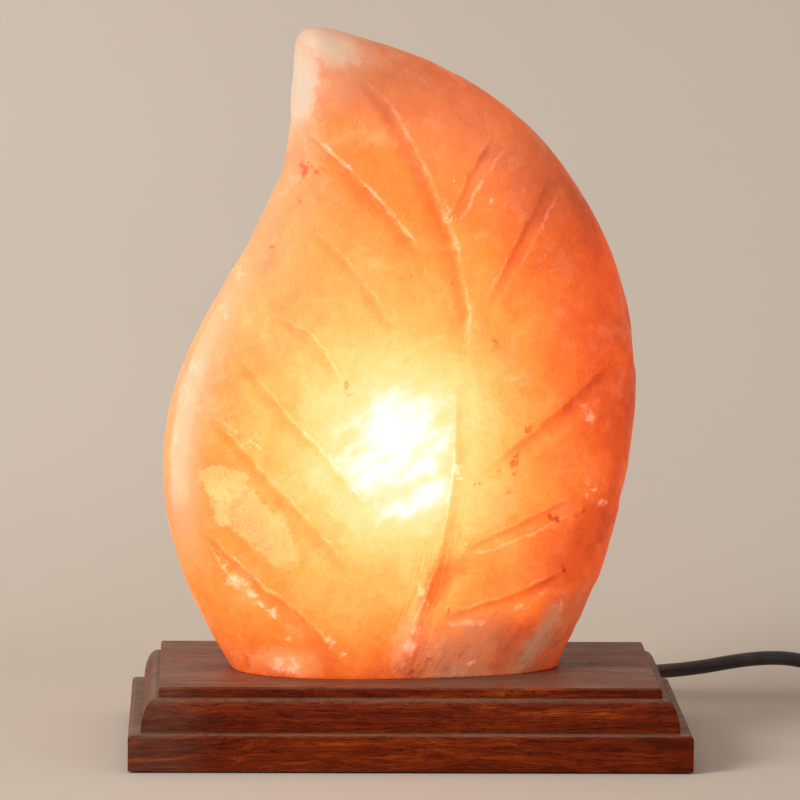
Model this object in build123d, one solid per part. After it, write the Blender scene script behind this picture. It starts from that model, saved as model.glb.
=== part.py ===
from build123d import *
import math
import os

# Salt crystal lamp: a carved leaf of rock salt on a moulded wooden plinth.
# Millimetres. +Z is up, -Y is the carved front, the origin is on the table
# under the middle of the plinth.

os.makedirs("parts", exist_ok=True)

# ---------------------------------------------------------------- fits
RUN_CLEAR = 0.1        # a shaft or thread that turns or slides in its hole
PART_CLEAR = 0.3       # faces of pieces that move past each other
FLEX_CLEAR = 0.4       # pieces that are only laid or clipped together
THROUGH = 1.0          # a cut runs this far past the faces that it opens
QUARTER_TURN = 90.0    # degrees

# ---------------------------------------------------------------- plinth
PAD_THICK = 0.6
PAD_RADIUS = 7.0
PAD_INSET = 15.0       # pad centre in from each side of the plinth
TOP_LENGTH = 166.0
TOP_DEPTH = 96.0
FASCIA_HEIGHT = 12.1   # lowest, square-edged step
FASCIA_EASE = 1.6
LEDGE_RUN = 4.2
OVOLO_RUN = 5.0        # quarter round between the ledge and the top plate
OVOLO_HEIGHT = 10.8
QUIRK_RUN = 0.8
FILLET_HEIGHT = 3.4    # upright edge of the top plate
TOP_EASE = 0.6
HOLDER_HOLE_RADIUS = 23.0

BOARD_BOTTOM = PAD_THICK
LEDGE_Z = BOARD_BOTTOM + FASCIA_HEIGHT
OVOLO_TOP_Z = LEDGE_Z + OVOLO_HEIGHT
PLINTH_TOP = OVOLO_TOP_Z + FILLET_HEIGHT
EDGE_RUN = QUIRK_RUN + OVOLO_RUN + LEDGE_RUN
BASE_LENGTH = TOP_LENGTH + 2 * EDGE_RUN
BASE_DEPTH = TOP_DEPTH + 2 * EDGE_RUN
BACK_FACE = BASE_DEPTH / 2

# ---------------------------------------------------------------- cord
CORD_DIAMETER = 5.0
CORD_RADIUS = CORD_DIAMETER / 2
CORD_EXIT_Z = 7.0
BEND_SHARE = 0.45      # of the shorter run, taken up by the arc at its end
GROMMET_SLEEVE_RADIUS = 3.8
GROMMET_SLEEVE_LENGTH = 14.0
GROMMET_FLANGE_RADIUS = 5.2
GROMMET_FLANGE_THICK = 2.0
GROMMET_SNOUT_LENGTH = 18.0
GROMMET_TIP_RADIUS = 3.5
GROMMET_ROOT_LIP = 0.6  # the snout is this much wider than the sleeve
GROMMET_TIP_Y = BACK_FACE + GROMMET_FLANGE_THICK + GROMMET_SNOUT_LENGTH
LEAD_BEND_RADIUS = 17.0
RELIEF_GROOVES = 5     # flexing grooves round each tapered relief
RELIEF_GROOVE_DEPTH = 0.5
RELIEF_GROOVE_WIDTH = 1.2

# ---------------------------------------------------------------- salt
SALT_YAW = 7.0         # the leaf's left edge stands nearer the viewer
SALT_SQUARENESS = 2.4  # exponent of the rounded plan sections
SALT_BORE_RADIUS = 21.0
SALT_BORE_DEPTH = 108.0
SALT_DRILL_POINT = 6.0
SALT_HEIGHT = 214.6
# share of the leaf's height, reach to the left, reach to the right, half thickness
SALT_SECTIONS = (
    (0.0, -59.3, 51.4, 31.0),
    (0.056, -66.3, 57.1, 32.0),
    (0.1305, -74.1, 64.6, 33.0),
    (0.2237, -80.3, 70.7, 33.5),
    (0.3169, -82.8, 75.0, 33.5),
    (0.4194, -79.9, 77.2, 33.0),
    (0.5219, -71.6, 76.0, 31.5),
    (0.6151, -60.6, 71.2, 29.0),
    (0.699, -51.0, 63.5, 26.5),
    (0.7596, -44.6, 55.6, 24.0),
    (0.8108, -41.4, 47.4, 22.0),
    (0.8621, -40.6, 36.4, 19.5),
    (0.9087, -40.0, 22.6, 17.0),
    (0.946, -39.4, 7.6, 14.5),
    (0.9739, -38.8, -8.6, 11.5),
    (0.9925, -37.0, -21.2, 8.0),
    (1.0, -34.2, -26.4, 4.5),
)
SECTION_POINTS = 20

# ---------------------------------------------------------------- carving
# The veins are grooves with one steep side, under a sharp lip, and one that rises slowly.
GROOVE_STEEP_RUN = 1.5
CUTTER_RISE = 3.0      # the cutter's arms end this far outside the leaf's face
CUTTER_RUN_OUT = 0.4   # its edge leaves the leaf by this much at both ends
CARVING_EDGE = 0.97    # of the half width: the carving stops short of the rim
LEFT_OF_LIP = 1        # side of the groove, going from the lip's first point to its last
RIGHT_OF_LIP = -1
# side, width at the start, width at the end, depth, lip points across the leaf and up from its foot
GROOVES = (
    # the midrib above and below the bore
    (RIGHT_OF_LIP, 5.0, 10.0, 1.9, (
        (-21.0, 201.5), (-9.1, 189.9), (3.0, 167.0), (12.2, 141.2), (16.0, 122.0), (14.5, 104.0))),
    (LEFT_OF_LIP, 6.0, 8.0, 1.5, (
        (10.5, 101.0), (10.7, 76.0), (8.4, 55.0), (3.0, 33.5), (-7.5, 5.0))),
    # veins of the left half, from the rim inwards
    (RIGHT_OF_LIP, 4.0, 7.5, 1.4, ((-37.0, 182.0), (-23.2, 169.2), (-11.1, 156.3), (0.9, 141.3))),
    (RIGHT_OF_LIP, 3.0, 7.0, 1.0, ((-59.5, 107.0), (-44.4, 88.8), (-30.0, 73.0), (-18.7, 58.4))),
    (RIGHT_OF_LIP, 3.0, 7.5, 1.4, ((-70.0, 89.5), (-52.5, 69.8), (-33.2, 49.1), (-24.1, 37.3))),
    (RIGHT_OF_LIP, 3.0, 8.0, 1.5, ((-73.0, 51.0), (-52.1, 31.2), (-40.0, 23.0), (-24.0, 5.0))),
    # veins of the right half, from the rim inwards
    (LEFT_OF_LIP, 6.5, 3.5, 1.3, ((24.0, 180.0), (15.5, 167.0), (8.5, 152.0))),
    (LEFT_OF_LIP, 6.5, 4.0, 1.1, ((44.5, 168.0), (34.2, 149.7), (21.0, 126.0))),
    (LEFT_OF_LIP, 7.0, 6.0, 1.4, ((66.0, 107.0), (53.3, 95.0), (30.7, 78.2), (19.0, 70.5))),
    (LEFT_OF_LIP, 6.0, 2.0, 1.6, ((53.0, 61.5), (33.0, 52.5), (14.0, 44.5))),
    (LEFT_OF_LIP, 6.5, 2.5, 1.8, ((50.5, 36.5), (33.2, 28.9), (5.5, 21.1))),
)

# ---------------------------------------------------------------- salt screws
SCREW_SPREAD = 36.0    # from the bore's axis, along the leaf
SCREW_RADIUS = 2.0
SCREW_HEAD_RADIUS = 4.0
SCREW_HEAD_HEIGHT = 2.4
SCREW_RECESS_DEPTH = 4.0
SCREW_RECESS_ROOM = 0.8
SCREW_RECESS_RADIUS = SCREW_HEAD_RADIUS + SCREW_RECESS_ROOM
SCREW_SLOT_WIDTH = 1.0
SCREW_SLOT_DEPTH = 1.0
SCREW_IN_SALT = 20.0
ANCHOR_RADIUS = 4.0
ANCHOR_BELOW_TIP = 3.0

# ---------------------------------------------------------------- bulb
BULB_LENGTH = 54.0
BULB_BOTTOM = 66.0     # centre contact's tip, above the table
BULB_RADIUS = 11.0
GLASS_WALL = 0.7
GLASS_NECK_RADIUS = 5.3
SHELL_RADIUS = 5.95
SHELL_WALL = 0.4
SHELL_LENGTH = 12.5
CONTACT_HEIGHT = 1.2
CONTACT_RADIUS = 2.0
INSULATOR_HEIGHT = 2.4
BELLY_DROP = 22.0      # widest place of the glass, below its tip
SHOULDER_DROP = 6.0
SHOULDER_SHARE = 0.66  # of the greatest radius
INSULATOR_LIP = 0.4
FILAMENT_HALF_WIDTH = 5.0
FILAMENT_RISE = 2.5
TAPER = 0.6            # the contact's and the stem's narrow end, against the wide one
FILAMENT_RADIUS = 0.25
LEAD_WIRE_RADIUS = 0.35
STEM_RADIUS = 2.4
STEM_HEIGHT = 12.0
STEM_COLLAR = 1.2
STEM_BELOW_SHELL_TOP = 8.0
FILAMENT_ABOVE_SHELL = 16.0
NECK_BELOW_SHELL_TOP = 7.0
NECK_ABOVE_SHELL_TOP = 0.6
WIRE_ROOT_SPREAD = 0.9
WIRE_KNEE_RISE = 2.0
WIRE_BEND = 1.5

SHELL_BOTTOM = BULB_BOTTOM + CONTACT_HEIGHT + INSULATOR_HEIGHT
SHELL_TOP = SHELL_BOTTOM + SHELL_LENGTH
BULB_TOP = BULB_BOTTOM + BULB_LENGTH
FILAMENT_Z = SHELL_TOP + FILAMENT_ABOVE_SHELL
STEM_BOTTOM = SHELL_TOP - STEM_BELOW_SHELL_TOP
STEM_TOP = STEM_BOTTOM + STEM_HEIGHT

# ---------------------------------------------------------------- lamp holder
SOCKET_RADIUS = 13.0
SOCKET_LIP = 2.0       # the body stands this far above the bulb's shell
SOCKET_TOP = SHELL_TOP + SOCKET_LIP
SOCKET_SHELL_WALL = 0.4
SHELL_RIM_DROP = 1.0
SOCKET_SHELL_RADIUS = SHELL_RADIUS + RUN_CLEAR + SOCKET_SHELL_WALL
SHELL_SEAT_THICK = 0.5
CONTACT_DISC_THICK = 0.6
CONTACT_DISC_RADIUS = 3.0
CONTACT_PLAY = 0.2     # the bulb's contact stands clear of the disc
CONTACT_POST = 1.2     # the disc stands this far above the partition
SEAT_HOLE_ROOM = 0.6
PARTITION_THICK = 6.0
CHAMBER_RADIUS = 10.6
CHAMBER_DEPTH = 14.0
CAP_THICK = 6.0
CAP_SKIRT_HEIGHT = 4.0
CAP_SKIRT_WALL = 1.5
RIVET_RADIUS = 1.2
TERMINAL_SPREAD = 6.2
TERMINAL_THICK = 0.8
TERMINAL_WIDTH = 6.0
TERMINAL_SCREW_RADIUS = 1.3
TERMINAL_SCREW_GRIP = 3.6
TERMINAL_MARGIN = 0.2    # plate left round each hole
TERMINAL_HEAD_RADIUS = 2.2
TERMINAL_HEAD_HEIGHT = 2.0
CORE_RADIUS = 0.8      # one insulated conductor inside the holder
CORE_OFFSET = 1.04     # each conductor's hole in the cap, from its middle
CORE_BEND = 1.6
CORE_FIRST_RISE = 2.0
CORE_SECOND_RISE = 6.0
CAP_SKIRT_EASE = 0.1
BRACKET_THICK = 0.8
BRACKET_HALF_LENGTH = 15.0
CLIP_WIDTH = 8.0
CLIP_THICK = 0.6
CLIP_RIVET_SPREAD = 9.5
CLIP_RIVET_HEAD_RADIUS = 2.2
CLIP_RIVET_HEAD_HEIGHT = 0.8
CLIP_KNEE_RISE = 22.0
CLIP_TOP_RISE = 36.0
CLIP_KNEE_LENGTH = 6.0
CLIP_ROOT_RISE = 8.0
CLIP_ROOT_LEAN = 1.2
CLIP_TOP_LEAN = 2.0
CLIP_ROOT_BEND = 30.0
CLIP_KNEE_BEND = 14.0

CONTACT_DISC_TOP = BULB_BOTTOM - CONTACT_PLAY
PARTITION_TOP = CONTACT_DISC_TOP - CONTACT_DISC_THICK - CONTACT_POST
PARTITION_BOTTOM = PARTITION_TOP - PARTITION_THICK
SOCKET_BOTTOM = PARTITION_BOTTOM - CHAMBER_DEPTH
CAP_BOTTOM = SOCKET_BOTTOM - CAP_THICK
BRACKET_BOTTOM = CAP_BOTTOM - BRACKET_THICK
# the clip's knee stays inside the bore over the clip's whole width
CLIP_KNEE_X = math.sqrt((SALT_BORE_RADIUS - PART_CLEAR) ** 2 - (CLIP_WIDTH / 2) ** 2) - CLIP_THICK / 2

# ---------------------------------------------------------------- dimmer
DIMMER_X = 213.0       # middle of the housing, which lies along X
DIMMER_Y = 90.0
DIMMER_LENGTH = 48.0
DIMMER_WIDTH = 28.0
DIMMER_SPLIT_Z = 8.0
DIMMER_TOP_Z = 17.0
DIMMER_WALL = 1.6
DIMMER_CORNER = 9.0
DIMMER_EASE = 1.5
DIMMER_FOOT_EASE = 0.9
DIMMER_CORD_Z = 8.0
BOOT_LENGTH = 20.0
BOOT_ROOT_RADIUS = 5.0
BOOT_TIP_RADIUS = 3.2
BOOT_PLUG_LENGTH = 3.0
BOOT_NECK_RADIUS = 3.6
DIAL_RADIUS = 10.0
DIAL_THICK = 5.4
DIAL_RECESS = 2.8
DIAL_CUP_WALL = 1.4
DIAL_EASE = 1.0
DIAL_MARK_LENGTH = 7.0
DIAL_MARK_WIDTH = 1.2
DIAL_MARK_DEPTH = 0.6
DIAL_RIB_COUNT = 24
DIAL_RIB_RADIUS = 0.6
DIAL_RIB_DROP = 1.2    # the ribs stop this far below the dial's top
SPINDLE_RADIUS = 3.0
BOARD_THICK = 1.6
BOARD_LENGTH = 26.0
BOARD_WIDTH = 22.0
BOARD_BOTTOM_Z = 3.4
BOARD_POST_RADIUS = 1.5
BOARD_POST_X = 10.4
BOARD_POST_Y = 8.0
POT_SIZE = 15.0
POT_HEIGHT = 5.0
POT_FLOOR = 1.2
PACKAGE_EASE = 0.6     # rounded corners of the triac and the capacitor
TRIAC_SIZE = (4.0, 5.0, 6.0)
CAPACITOR_SIZE = (5.0, 11.0, 6.5)
PART_SPREAD = 10.4     # triac and capacitor, either side of the potentiometer
POST_SPREAD_X = 17.5   # the two screws stand in opposite corners
POST_SPREAD_Y = 8.0
POST_RADIUS = 2.6
DIMMER_SCREW_RADIUS = 1.1
DIMMER_SCREW_HEAD = 2.0
DIMMER_SCREW_COVER = 1.8
DIMMER_HEAD_HEIGHT = 1.2
DIMMER_SLOT_WIDTH = 0.7
DIMMER_SLOT_DEPTH = 0.5
POST_LAP = 2.0         # the cover's posts reach this far into the base

BOARD_TOP_Z = BOARD_BOTTOM_Z + BOARD_THICK
POST_SPLIT_Z = DIMMER_SPLIT_Z - POST_LAP
DIMMER_HEAD_Z = DIMMER_WALL - DIMMER_HEAD_HEIGHT
POT_TOP_Z = BOARD_TOP_Z + POT_HEIGHT
DIAL_BOTTOM_Z = DIMMER_TOP_Z - DIAL_RECESS + PART_CLEAR
DIMMER_LEFT_X = DIMMER_X - DIMMER_LENGTH / 2
DIMMER_RIGHT_X = DIMMER_X + DIMMER_LENGTH / 2

# ---------------------------------------------------------------- coil and plug
COIL_X = 256.2
COIL_Y = 34.0
COIL_TURN_RADIUS = 30.0
COIL_TURNS_WIDE = 4    # in the lower layer; the upper layer lies in its grooves
COIL_TURNS_HIGH = 2
COIL_EASE = 2.0
TIE_THICK = 0.8
TIE_WIDTH = 9.0
TIE_SLACK = 0.6
TIE_TURN = 150.0       # where round the coil the tie sits, in degrees
PLUG_X = 207.0         # root of the relief, the body lies to its left
PLUG_Y = -21.0
PLUG_LENGTH = 28.0
PLUG_WIDTH = 25.0
PLUG_HEIGHT = 16.0
PLUG_NOSE_WIDTH = 13.0
PLUG_NOSE_HEIGHT = 11.5
PLUG_CORNER = 4.0
PLUG_WAIST = 11.0      # straight part behind the face, before the body tapers
PLUG_FACE_EASE = 1.0
PLUG_RELIEF_LENGTH = 20.0
BLADE_SPACING = 12.7
BLADE_WIDTH = 6.35
BLADE_THICK = 1.5
BLADE_LENGTH = 17.0
BLADE_ROOT = 8.0
BLADE_HOLE_RADIUS = 1.6
BLADE_HOLE_INSET = 3.0  # hole's axis behind the blade's tip
PLUG_Z = PLUG_HEIGHT / 2
COIL_BAND = COIL_TURNS_WIDE * CORD_DIAMETER
COIL_HEIGHT = COIL_TURNS_HIGH * CORD_DIAMETER

# ---------------------------------------------------------------- cord routes
# lamp to dimmer: out of the plinth's back, round to the right, over a low hump
LAMP_CORD_ROUTE = (
    (0.0, GROMMET_TIP_Y, CORD_EXIT_Z),
    (0.0, 93.6, CORD_EXIT_Z),
    (9.4, 109.2, 6.8),
    (26.5, 117.2, 6.6),
    (53.0, 112.6, 6.5),
    (79.0, 100.6, 6.9),
    (103.0, 93.6, 9.6),
    (124.0, 91.8, 14.0),
    (139.0, 91.2, 14.4),
    (151.0, 90.4, 10.9),
    (160.0, DIMMER_Y, DIMMER_CORD_Z),
    (DIMMER_LEFT_X - BOOT_LENGTH, DIMMER_Y, DIMMER_CORD_Z),
)
# dimmer to coil
MAINS_CORD_ROUTE = (
    (DIMMER_RIGHT_X + BOOT_LENGTH, DIMMER_Y, DIMMER_CORD_Z),
    (273.0, DIMMER_Y, DIMMER_CORD_Z),
    (286.0, 82.2, 6.4),
    (293.2, 68.2, 4.6),
    (293.8, 53.0, 3.6),
    (293.1, 40.5, TIE_THICK + CORD_RADIUS),
)
# coil to plug
PLUG_LEAD_ROUTE = (
    (282.3, 10.8, 6.4),
    (270.6, -2.6, 4.4),
    (256.2, -14.0, 5.0),
    (241.0, PLUG_Y, PLUG_Z),
    (PLUG_X + PLUG_RELIEF_LENGTH, PLUG_Y, PLUG_Z),
)


# ================================================================ helpers
def write(shape, node: str) -> None:
    """Write one sub-part as its own STEP file."""
    export_step(shape, f"parts/{node}.step")


def write_group(solids: list, node: str) -> None:
    """Write several separate solids as one sub-part."""
    export_step(Compound(children=list(solids)), f"parts/{node}.step")


def disc(radius: float, bottom: float, top: float, x: float = 0.0, y: float = 0.0):
    """An upright cylinder between two heights."""
    return Pos(x, y, (bottom + top) / 2) * Cylinder(radius, top - bottom)


def ring(outer: float, inner: float, bottom: float, top: float):
    """An upright ring between two heights."""
    return disc(outer, bottom, top) - disc(inner, bottom - THROUGH, top + THROUGH)


def block(size_x: float, size_y: float, bottom: float, top: float, x: float = 0.0, y: float = 0.0):
    """An upright box between two heights."""
    return Pos(x, y, (bottom + top) / 2) * Box(size_x, size_y, top - bottom)


def bend_radii(route: tuple) -> list:
    """Radius of the arc at each inner point: as large as its two runs allow."""
    points = [Vector(*point) for point in route]
    radii = []
    for before, here, after in zip(points, points[1:], points[2:]):
        run_in = here - before
        run_out = after - here
        half_turn = math.radians(run_in.get_angle(run_out)) / 2
        radii.append(BEND_SHARE * min(run_in.length, run_out.length) / math.tan(half_turn))
    return radii


def cord_tube(route: tuple, radius: float, name: str):
    """A cord along straight runs joined by tangent arcs."""
    radii = bend_radii(route)
    path = FilletPolyline(*route, radius=radii)
    section = Plane(origin=path @ 0, z_dir=path % 0) * Circle(radius)
    tube = sweep(section, path=path)
    expected = math.pi * radius ** 2 * path.length
    print(name, "length", round(path.length, 1), "radii", [round(r, 1) for r in radii],
          "volume ratio", round(tube.volume / expected, 4))
    return tube


def tapered_relief(root_radius: float, tip_radius: float, length: float):
    """A tapered strain relief that stands on its root, with flexing grooves."""
    relief = Pos(0, 0, length / 2) * Cone(root_radius, tip_radius, length)
    for step in range(1, RELIEF_GROOVES + 1):
        share = step / (RELIEF_GROOVES + 1)
        radius = root_radius + (tip_radius - root_radius) * share
        middle = share * length
        relief -= ring(radius + THROUGH, radius - RELIEF_GROOVE_DEPTH,
                       middle - RELIEF_GROOVE_WIDTH / 2, middle + RELIEF_GROOVE_WIDTH / 2)
    return relief


def on_leaf(offset: float):
    """A place under the leaf, along its width from the bore's axis."""
    return Rot(0, 0, SALT_YAW) * Pos(offset, 0, 0)


# ================================================================ plinth
def edge_profile(half_width: float):
    """The plinth's moulded outline, seen from an end."""
    base = half_width + EDGE_RUN
    foot = half_width + QUIRK_RUN + OVOLO_RUN
    lower = Polyline(
        (-base, LEDGE_Z - FASCIA_EASE), (-base, BOARD_BOTTOM), (base, BOARD_BOTTOM),
        (base, LEDGE_Z - FASCIA_EASE))
    upper = Polyline(
        (half_width + QUIRK_RUN, OVOLO_TOP_Z), (half_width, OVOLO_TOP_Z),
        (half_width, PLINTH_TOP - TOP_EASE), (half_width - TOP_EASE, PLINTH_TOP),
        (TOP_EASE - half_width, PLINTH_TOP), (-half_width, PLINTH_TOP - TOP_EASE),
        (-half_width, OVOLO_TOP_Z), (-half_width - QUIRK_RUN, OVOLO_TOP_Z))
    edges = [lower, upper]
    for side in (1, -1):
        shoulder = RadiusArc(
            (side * base, LEDGE_Z - FASCIA_EASE), (side * (base - FASCIA_EASE), LEDGE_Z),
            -side * FASCIA_EASE)
        ledge = Line((side * (base - FASCIA_EASE), LEDGE_Z), (side * foot, LEDGE_Z))
        start = 0 if side > 0 else QUARTER_TURN
        ovolo = EllipticalCenterArc(
            (side * (half_width + QUIRK_RUN), LEDGE_Z), OVOLO_RUN, OVOLO_HEIGHT,
            start_angle=start, arc_size=QUARTER_TURN)
        edges += [shoulder, ledge, ovolo]
    return make_face(Curve() + edges)


def make_plinth() -> None:
    """The moulded board with its holder hole, cord hole and screw holes."""
    along_y = extrude(Plane.XZ * edge_profile(TOP_LENGTH / 2), BASE_DEPTH, both=True)
    along_x = extrude(Plane.YZ * edge_profile(TOP_DEPTH / 2), BASE_LENGTH, both=True)
    board = along_y & along_x
    board -= disc(HOLDER_HOLE_RADIUS, -THROUGH, PLINTH_TOP + THROUGH)
    board -= Pos(0, (BACK_FACE + THROUGH) / 2, CORD_EXIT_Z) * Rot(QUARTER_TURN, 0, 0) * Cylinder(
        GROMMET_SLEEVE_RADIUS, BACK_FACE + THROUGH)
    for side in (-1, 1):
        place = on_leaf(side * SCREW_SPREAD)
        board -= place * disc(SCREW_RADIUS + PART_CLEAR, -THROUGH, PLINTH_TOP + THROUGH)
        board -= place * disc(SCREW_RECESS_RADIUS, -THROUGH, BOARD_BOTTOM + SCREW_RECESS_DEPTH)
    write(board, "plinth_board")

    pads = []
    for x in (-1, 1):
        for y in (-1, 1):
            pads.append(disc(PAD_RADIUS, 0, PAD_THICK, x * (BASE_LENGTH / 2 - PAD_INSET),
                             y * (BASE_DEPTH / 2 - PAD_INSET)))
    write_group(pads, "felt_pads")


# ================================================================ salt
def salt_section(share: float, left: float, right: float, half_thick: float):
    """One level plan section of the leaf, a rounded closed curve."""
    level = PLINTH_TOP + share * SALT_HEIGHT
    middle = (left + right) / 2
    half_width = (right - left) / 2
    power = 2 / SALT_SQUARENESS
    points = []
    for step in range(SECTION_POINTS):
        turn = 2 * math.pi * step / SECTION_POINTS
        across, deep = math.cos(turn), math.sin(turn)
        points.append((
            middle + half_width * math.copysign(abs(across) ** power, across),
            half_thick * math.copysign(abs(deep) ** power, deep),
            level))
    return Face(Wire([Spline(*points, periodic=True)]))


def on_leaf_face(face: int, across: float, up: float, outward: float = 0.0):
    """A place on the carved front (-1) or back (1) of the leaf, or outward from there."""
    share = min(max(up / SALT_HEIGHT, 0.0), 1.0)
    for low, high in zip(SALT_SECTIONS, SALT_SECTIONS[1:]):
        if low[0] <= share <= high[0]:
            part = (share - low[0]) / (high[0] - low[0])
            left, right, half_thick = (a + (b - a) * part for a, b in zip(low[1:], high[1:]))
    from_middle = abs(2 * across - left - right) / (right - left)
    from_middle = min(from_middle, CARVING_EDGE)
    deep = half_thick * (1 - from_middle ** SALT_SQUARENESS) ** (1 / SALT_SQUARENESS)
    return Vector(across, face * (deep + outward), PLINTH_TOP + up)


def groove_cutter(face: int, side: int, start_width: float, end_width: float, depth: float, lip: tuple):
    """A three-sided cutter that follows a vein on one face of the leaf and runs out at its ends."""
    sections = []
    last = len(lip) - 1
    for index, (across, up) in enumerate(lip):
        before = lip[max(index - 1, 0)]
        after = lip[min(index + 1, last)]
        run = Vector(after[0] - before[0], after[1] - before[1]).normalized()
        aside, rise = -side * run.Y, side * run.X
        width = start_width + (end_width - start_width) * index / last
        lift = depth + CUTTER_RUN_OUT if index in (0, last) else 0.0
        edge = on_leaf_face(face, across + aside * GROOVE_STEEP_RUN, up + rise * GROOVE_STEEP_RUN,
                            lift - depth)
        corners = [edge]
        for reach in (0.0, width):
            rim = on_leaf_face(face, across + aside * reach, up + rise * reach, lift)
            corners.append(edge + (rim - edge) * (1 + CUTTER_RISE / depth))
        sections.append(Face(Wire.make_polygon(corners, close=True)))
    return loft(sections, ruled=True)


def make_salt() -> None:
    """The leaf of rock salt, bored from below, with its two anchors."""
    leaf = loft([salt_section(*row) for row in SALT_SECTIONS])
    for face in (-1, 1):
        for groove in GROOVES:
            leaf -= groove_cutter(face, *groove)
    leaf = Rot(0, 0, SALT_YAW) * leaf
    bore_top = PLINTH_TOP + SALT_BORE_DEPTH
    leaf -= disc(SALT_BORE_RADIUS, PLINTH_TOP - THROUGH, bore_top)
    leaf -= Pos(0, 0, bore_top + SALT_DRILL_POINT / 2) * Cone(
        SALT_BORE_RADIUS, SALT_BORE_RADIUS / 3, SALT_DRILL_POINT)
    anchors = []
    screws = []
    head_top = BOARD_BOTTOM + SCREW_RECESS_DEPTH
    tip = PLINTH_TOP + SCREW_IN_SALT
    for side in (-1, 1):
        place = on_leaf(side * SCREW_SPREAD)
        leaf -= place * disc(ANCHOR_RADIUS, PLINTH_TOP - THROUGH, tip + ANCHOR_BELOW_TIP)
        anchor = disc(ANCHOR_RADIUS, PLINTH_TOP, tip + ANCHOR_BELOW_TIP)
        anchors.append(place * (anchor - disc(SCREW_RADIUS, PLINTH_TOP - THROUGH, tip)))
        shank = disc(SCREW_RADIUS, head_top - SCREW_HEAD_HEIGHT, tip)
        head = disc(SCREW_HEAD_RADIUS, head_top - SCREW_HEAD_HEIGHT, head_top)
        slot = block(2 * SCREW_HEAD_RADIUS, SCREW_SLOT_WIDTH, 0,
                     head_top - SCREW_HEAD_HEIGHT + SCREW_SLOT_DEPTH)
        screws.append(place * (shank + head - slot))
    write(leaf, "salt_block")
    write_group(anchors, "salt_anchors")
    write_group(screws, "salt_screws")


# ================================================================ cord entry
def make_cord_entry() -> None:
    """The tapered relief in the plinth's back and the lead up to the holder."""
    axis = Pos(0, 0, CORD_EXIT_Z) * Rot(-QUARTER_TURN, 0, 0)
    inner_end = BACK_FACE - GROMMET_SLEEVE_LENGTH
    flange_end = BACK_FACE + GROMMET_FLANGE_THICK
    grommet = disc(GROMMET_SLEEVE_RADIUS, inner_end, BACK_FACE)
    grommet += disc(GROMMET_FLANGE_RADIUS, BACK_FACE, flange_end)
    grommet += Pos(0, 0, flange_end) * tapered_relief(
        GROMMET_SLEEVE_RADIUS + GROMMET_ROOT_LIP, GROMMET_TIP_RADIUS, GROMMET_SNOUT_LENGTH)
    grommet -= disc(CORD_RADIUS, inner_end - THROUGH, GROMMET_TIP_Y + THROUGH)
    write(axis * grommet, "cord_grommet")

    path = FilletPolyline(
        (0, 0, CAP_BOTTOM), (0, 0, CORD_EXIT_Z), (0, GROMMET_TIP_Y, CORD_EXIT_Z),
        radius=[LEAD_BEND_RADIUS])
    section = Plane(origin=path @ 0, z_dir=path % 0) * Circle(CORD_RADIUS)
    write(sweep(section, path=path), "inner_lead")
    print("inner_lead length", round(path.length, 1))


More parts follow.
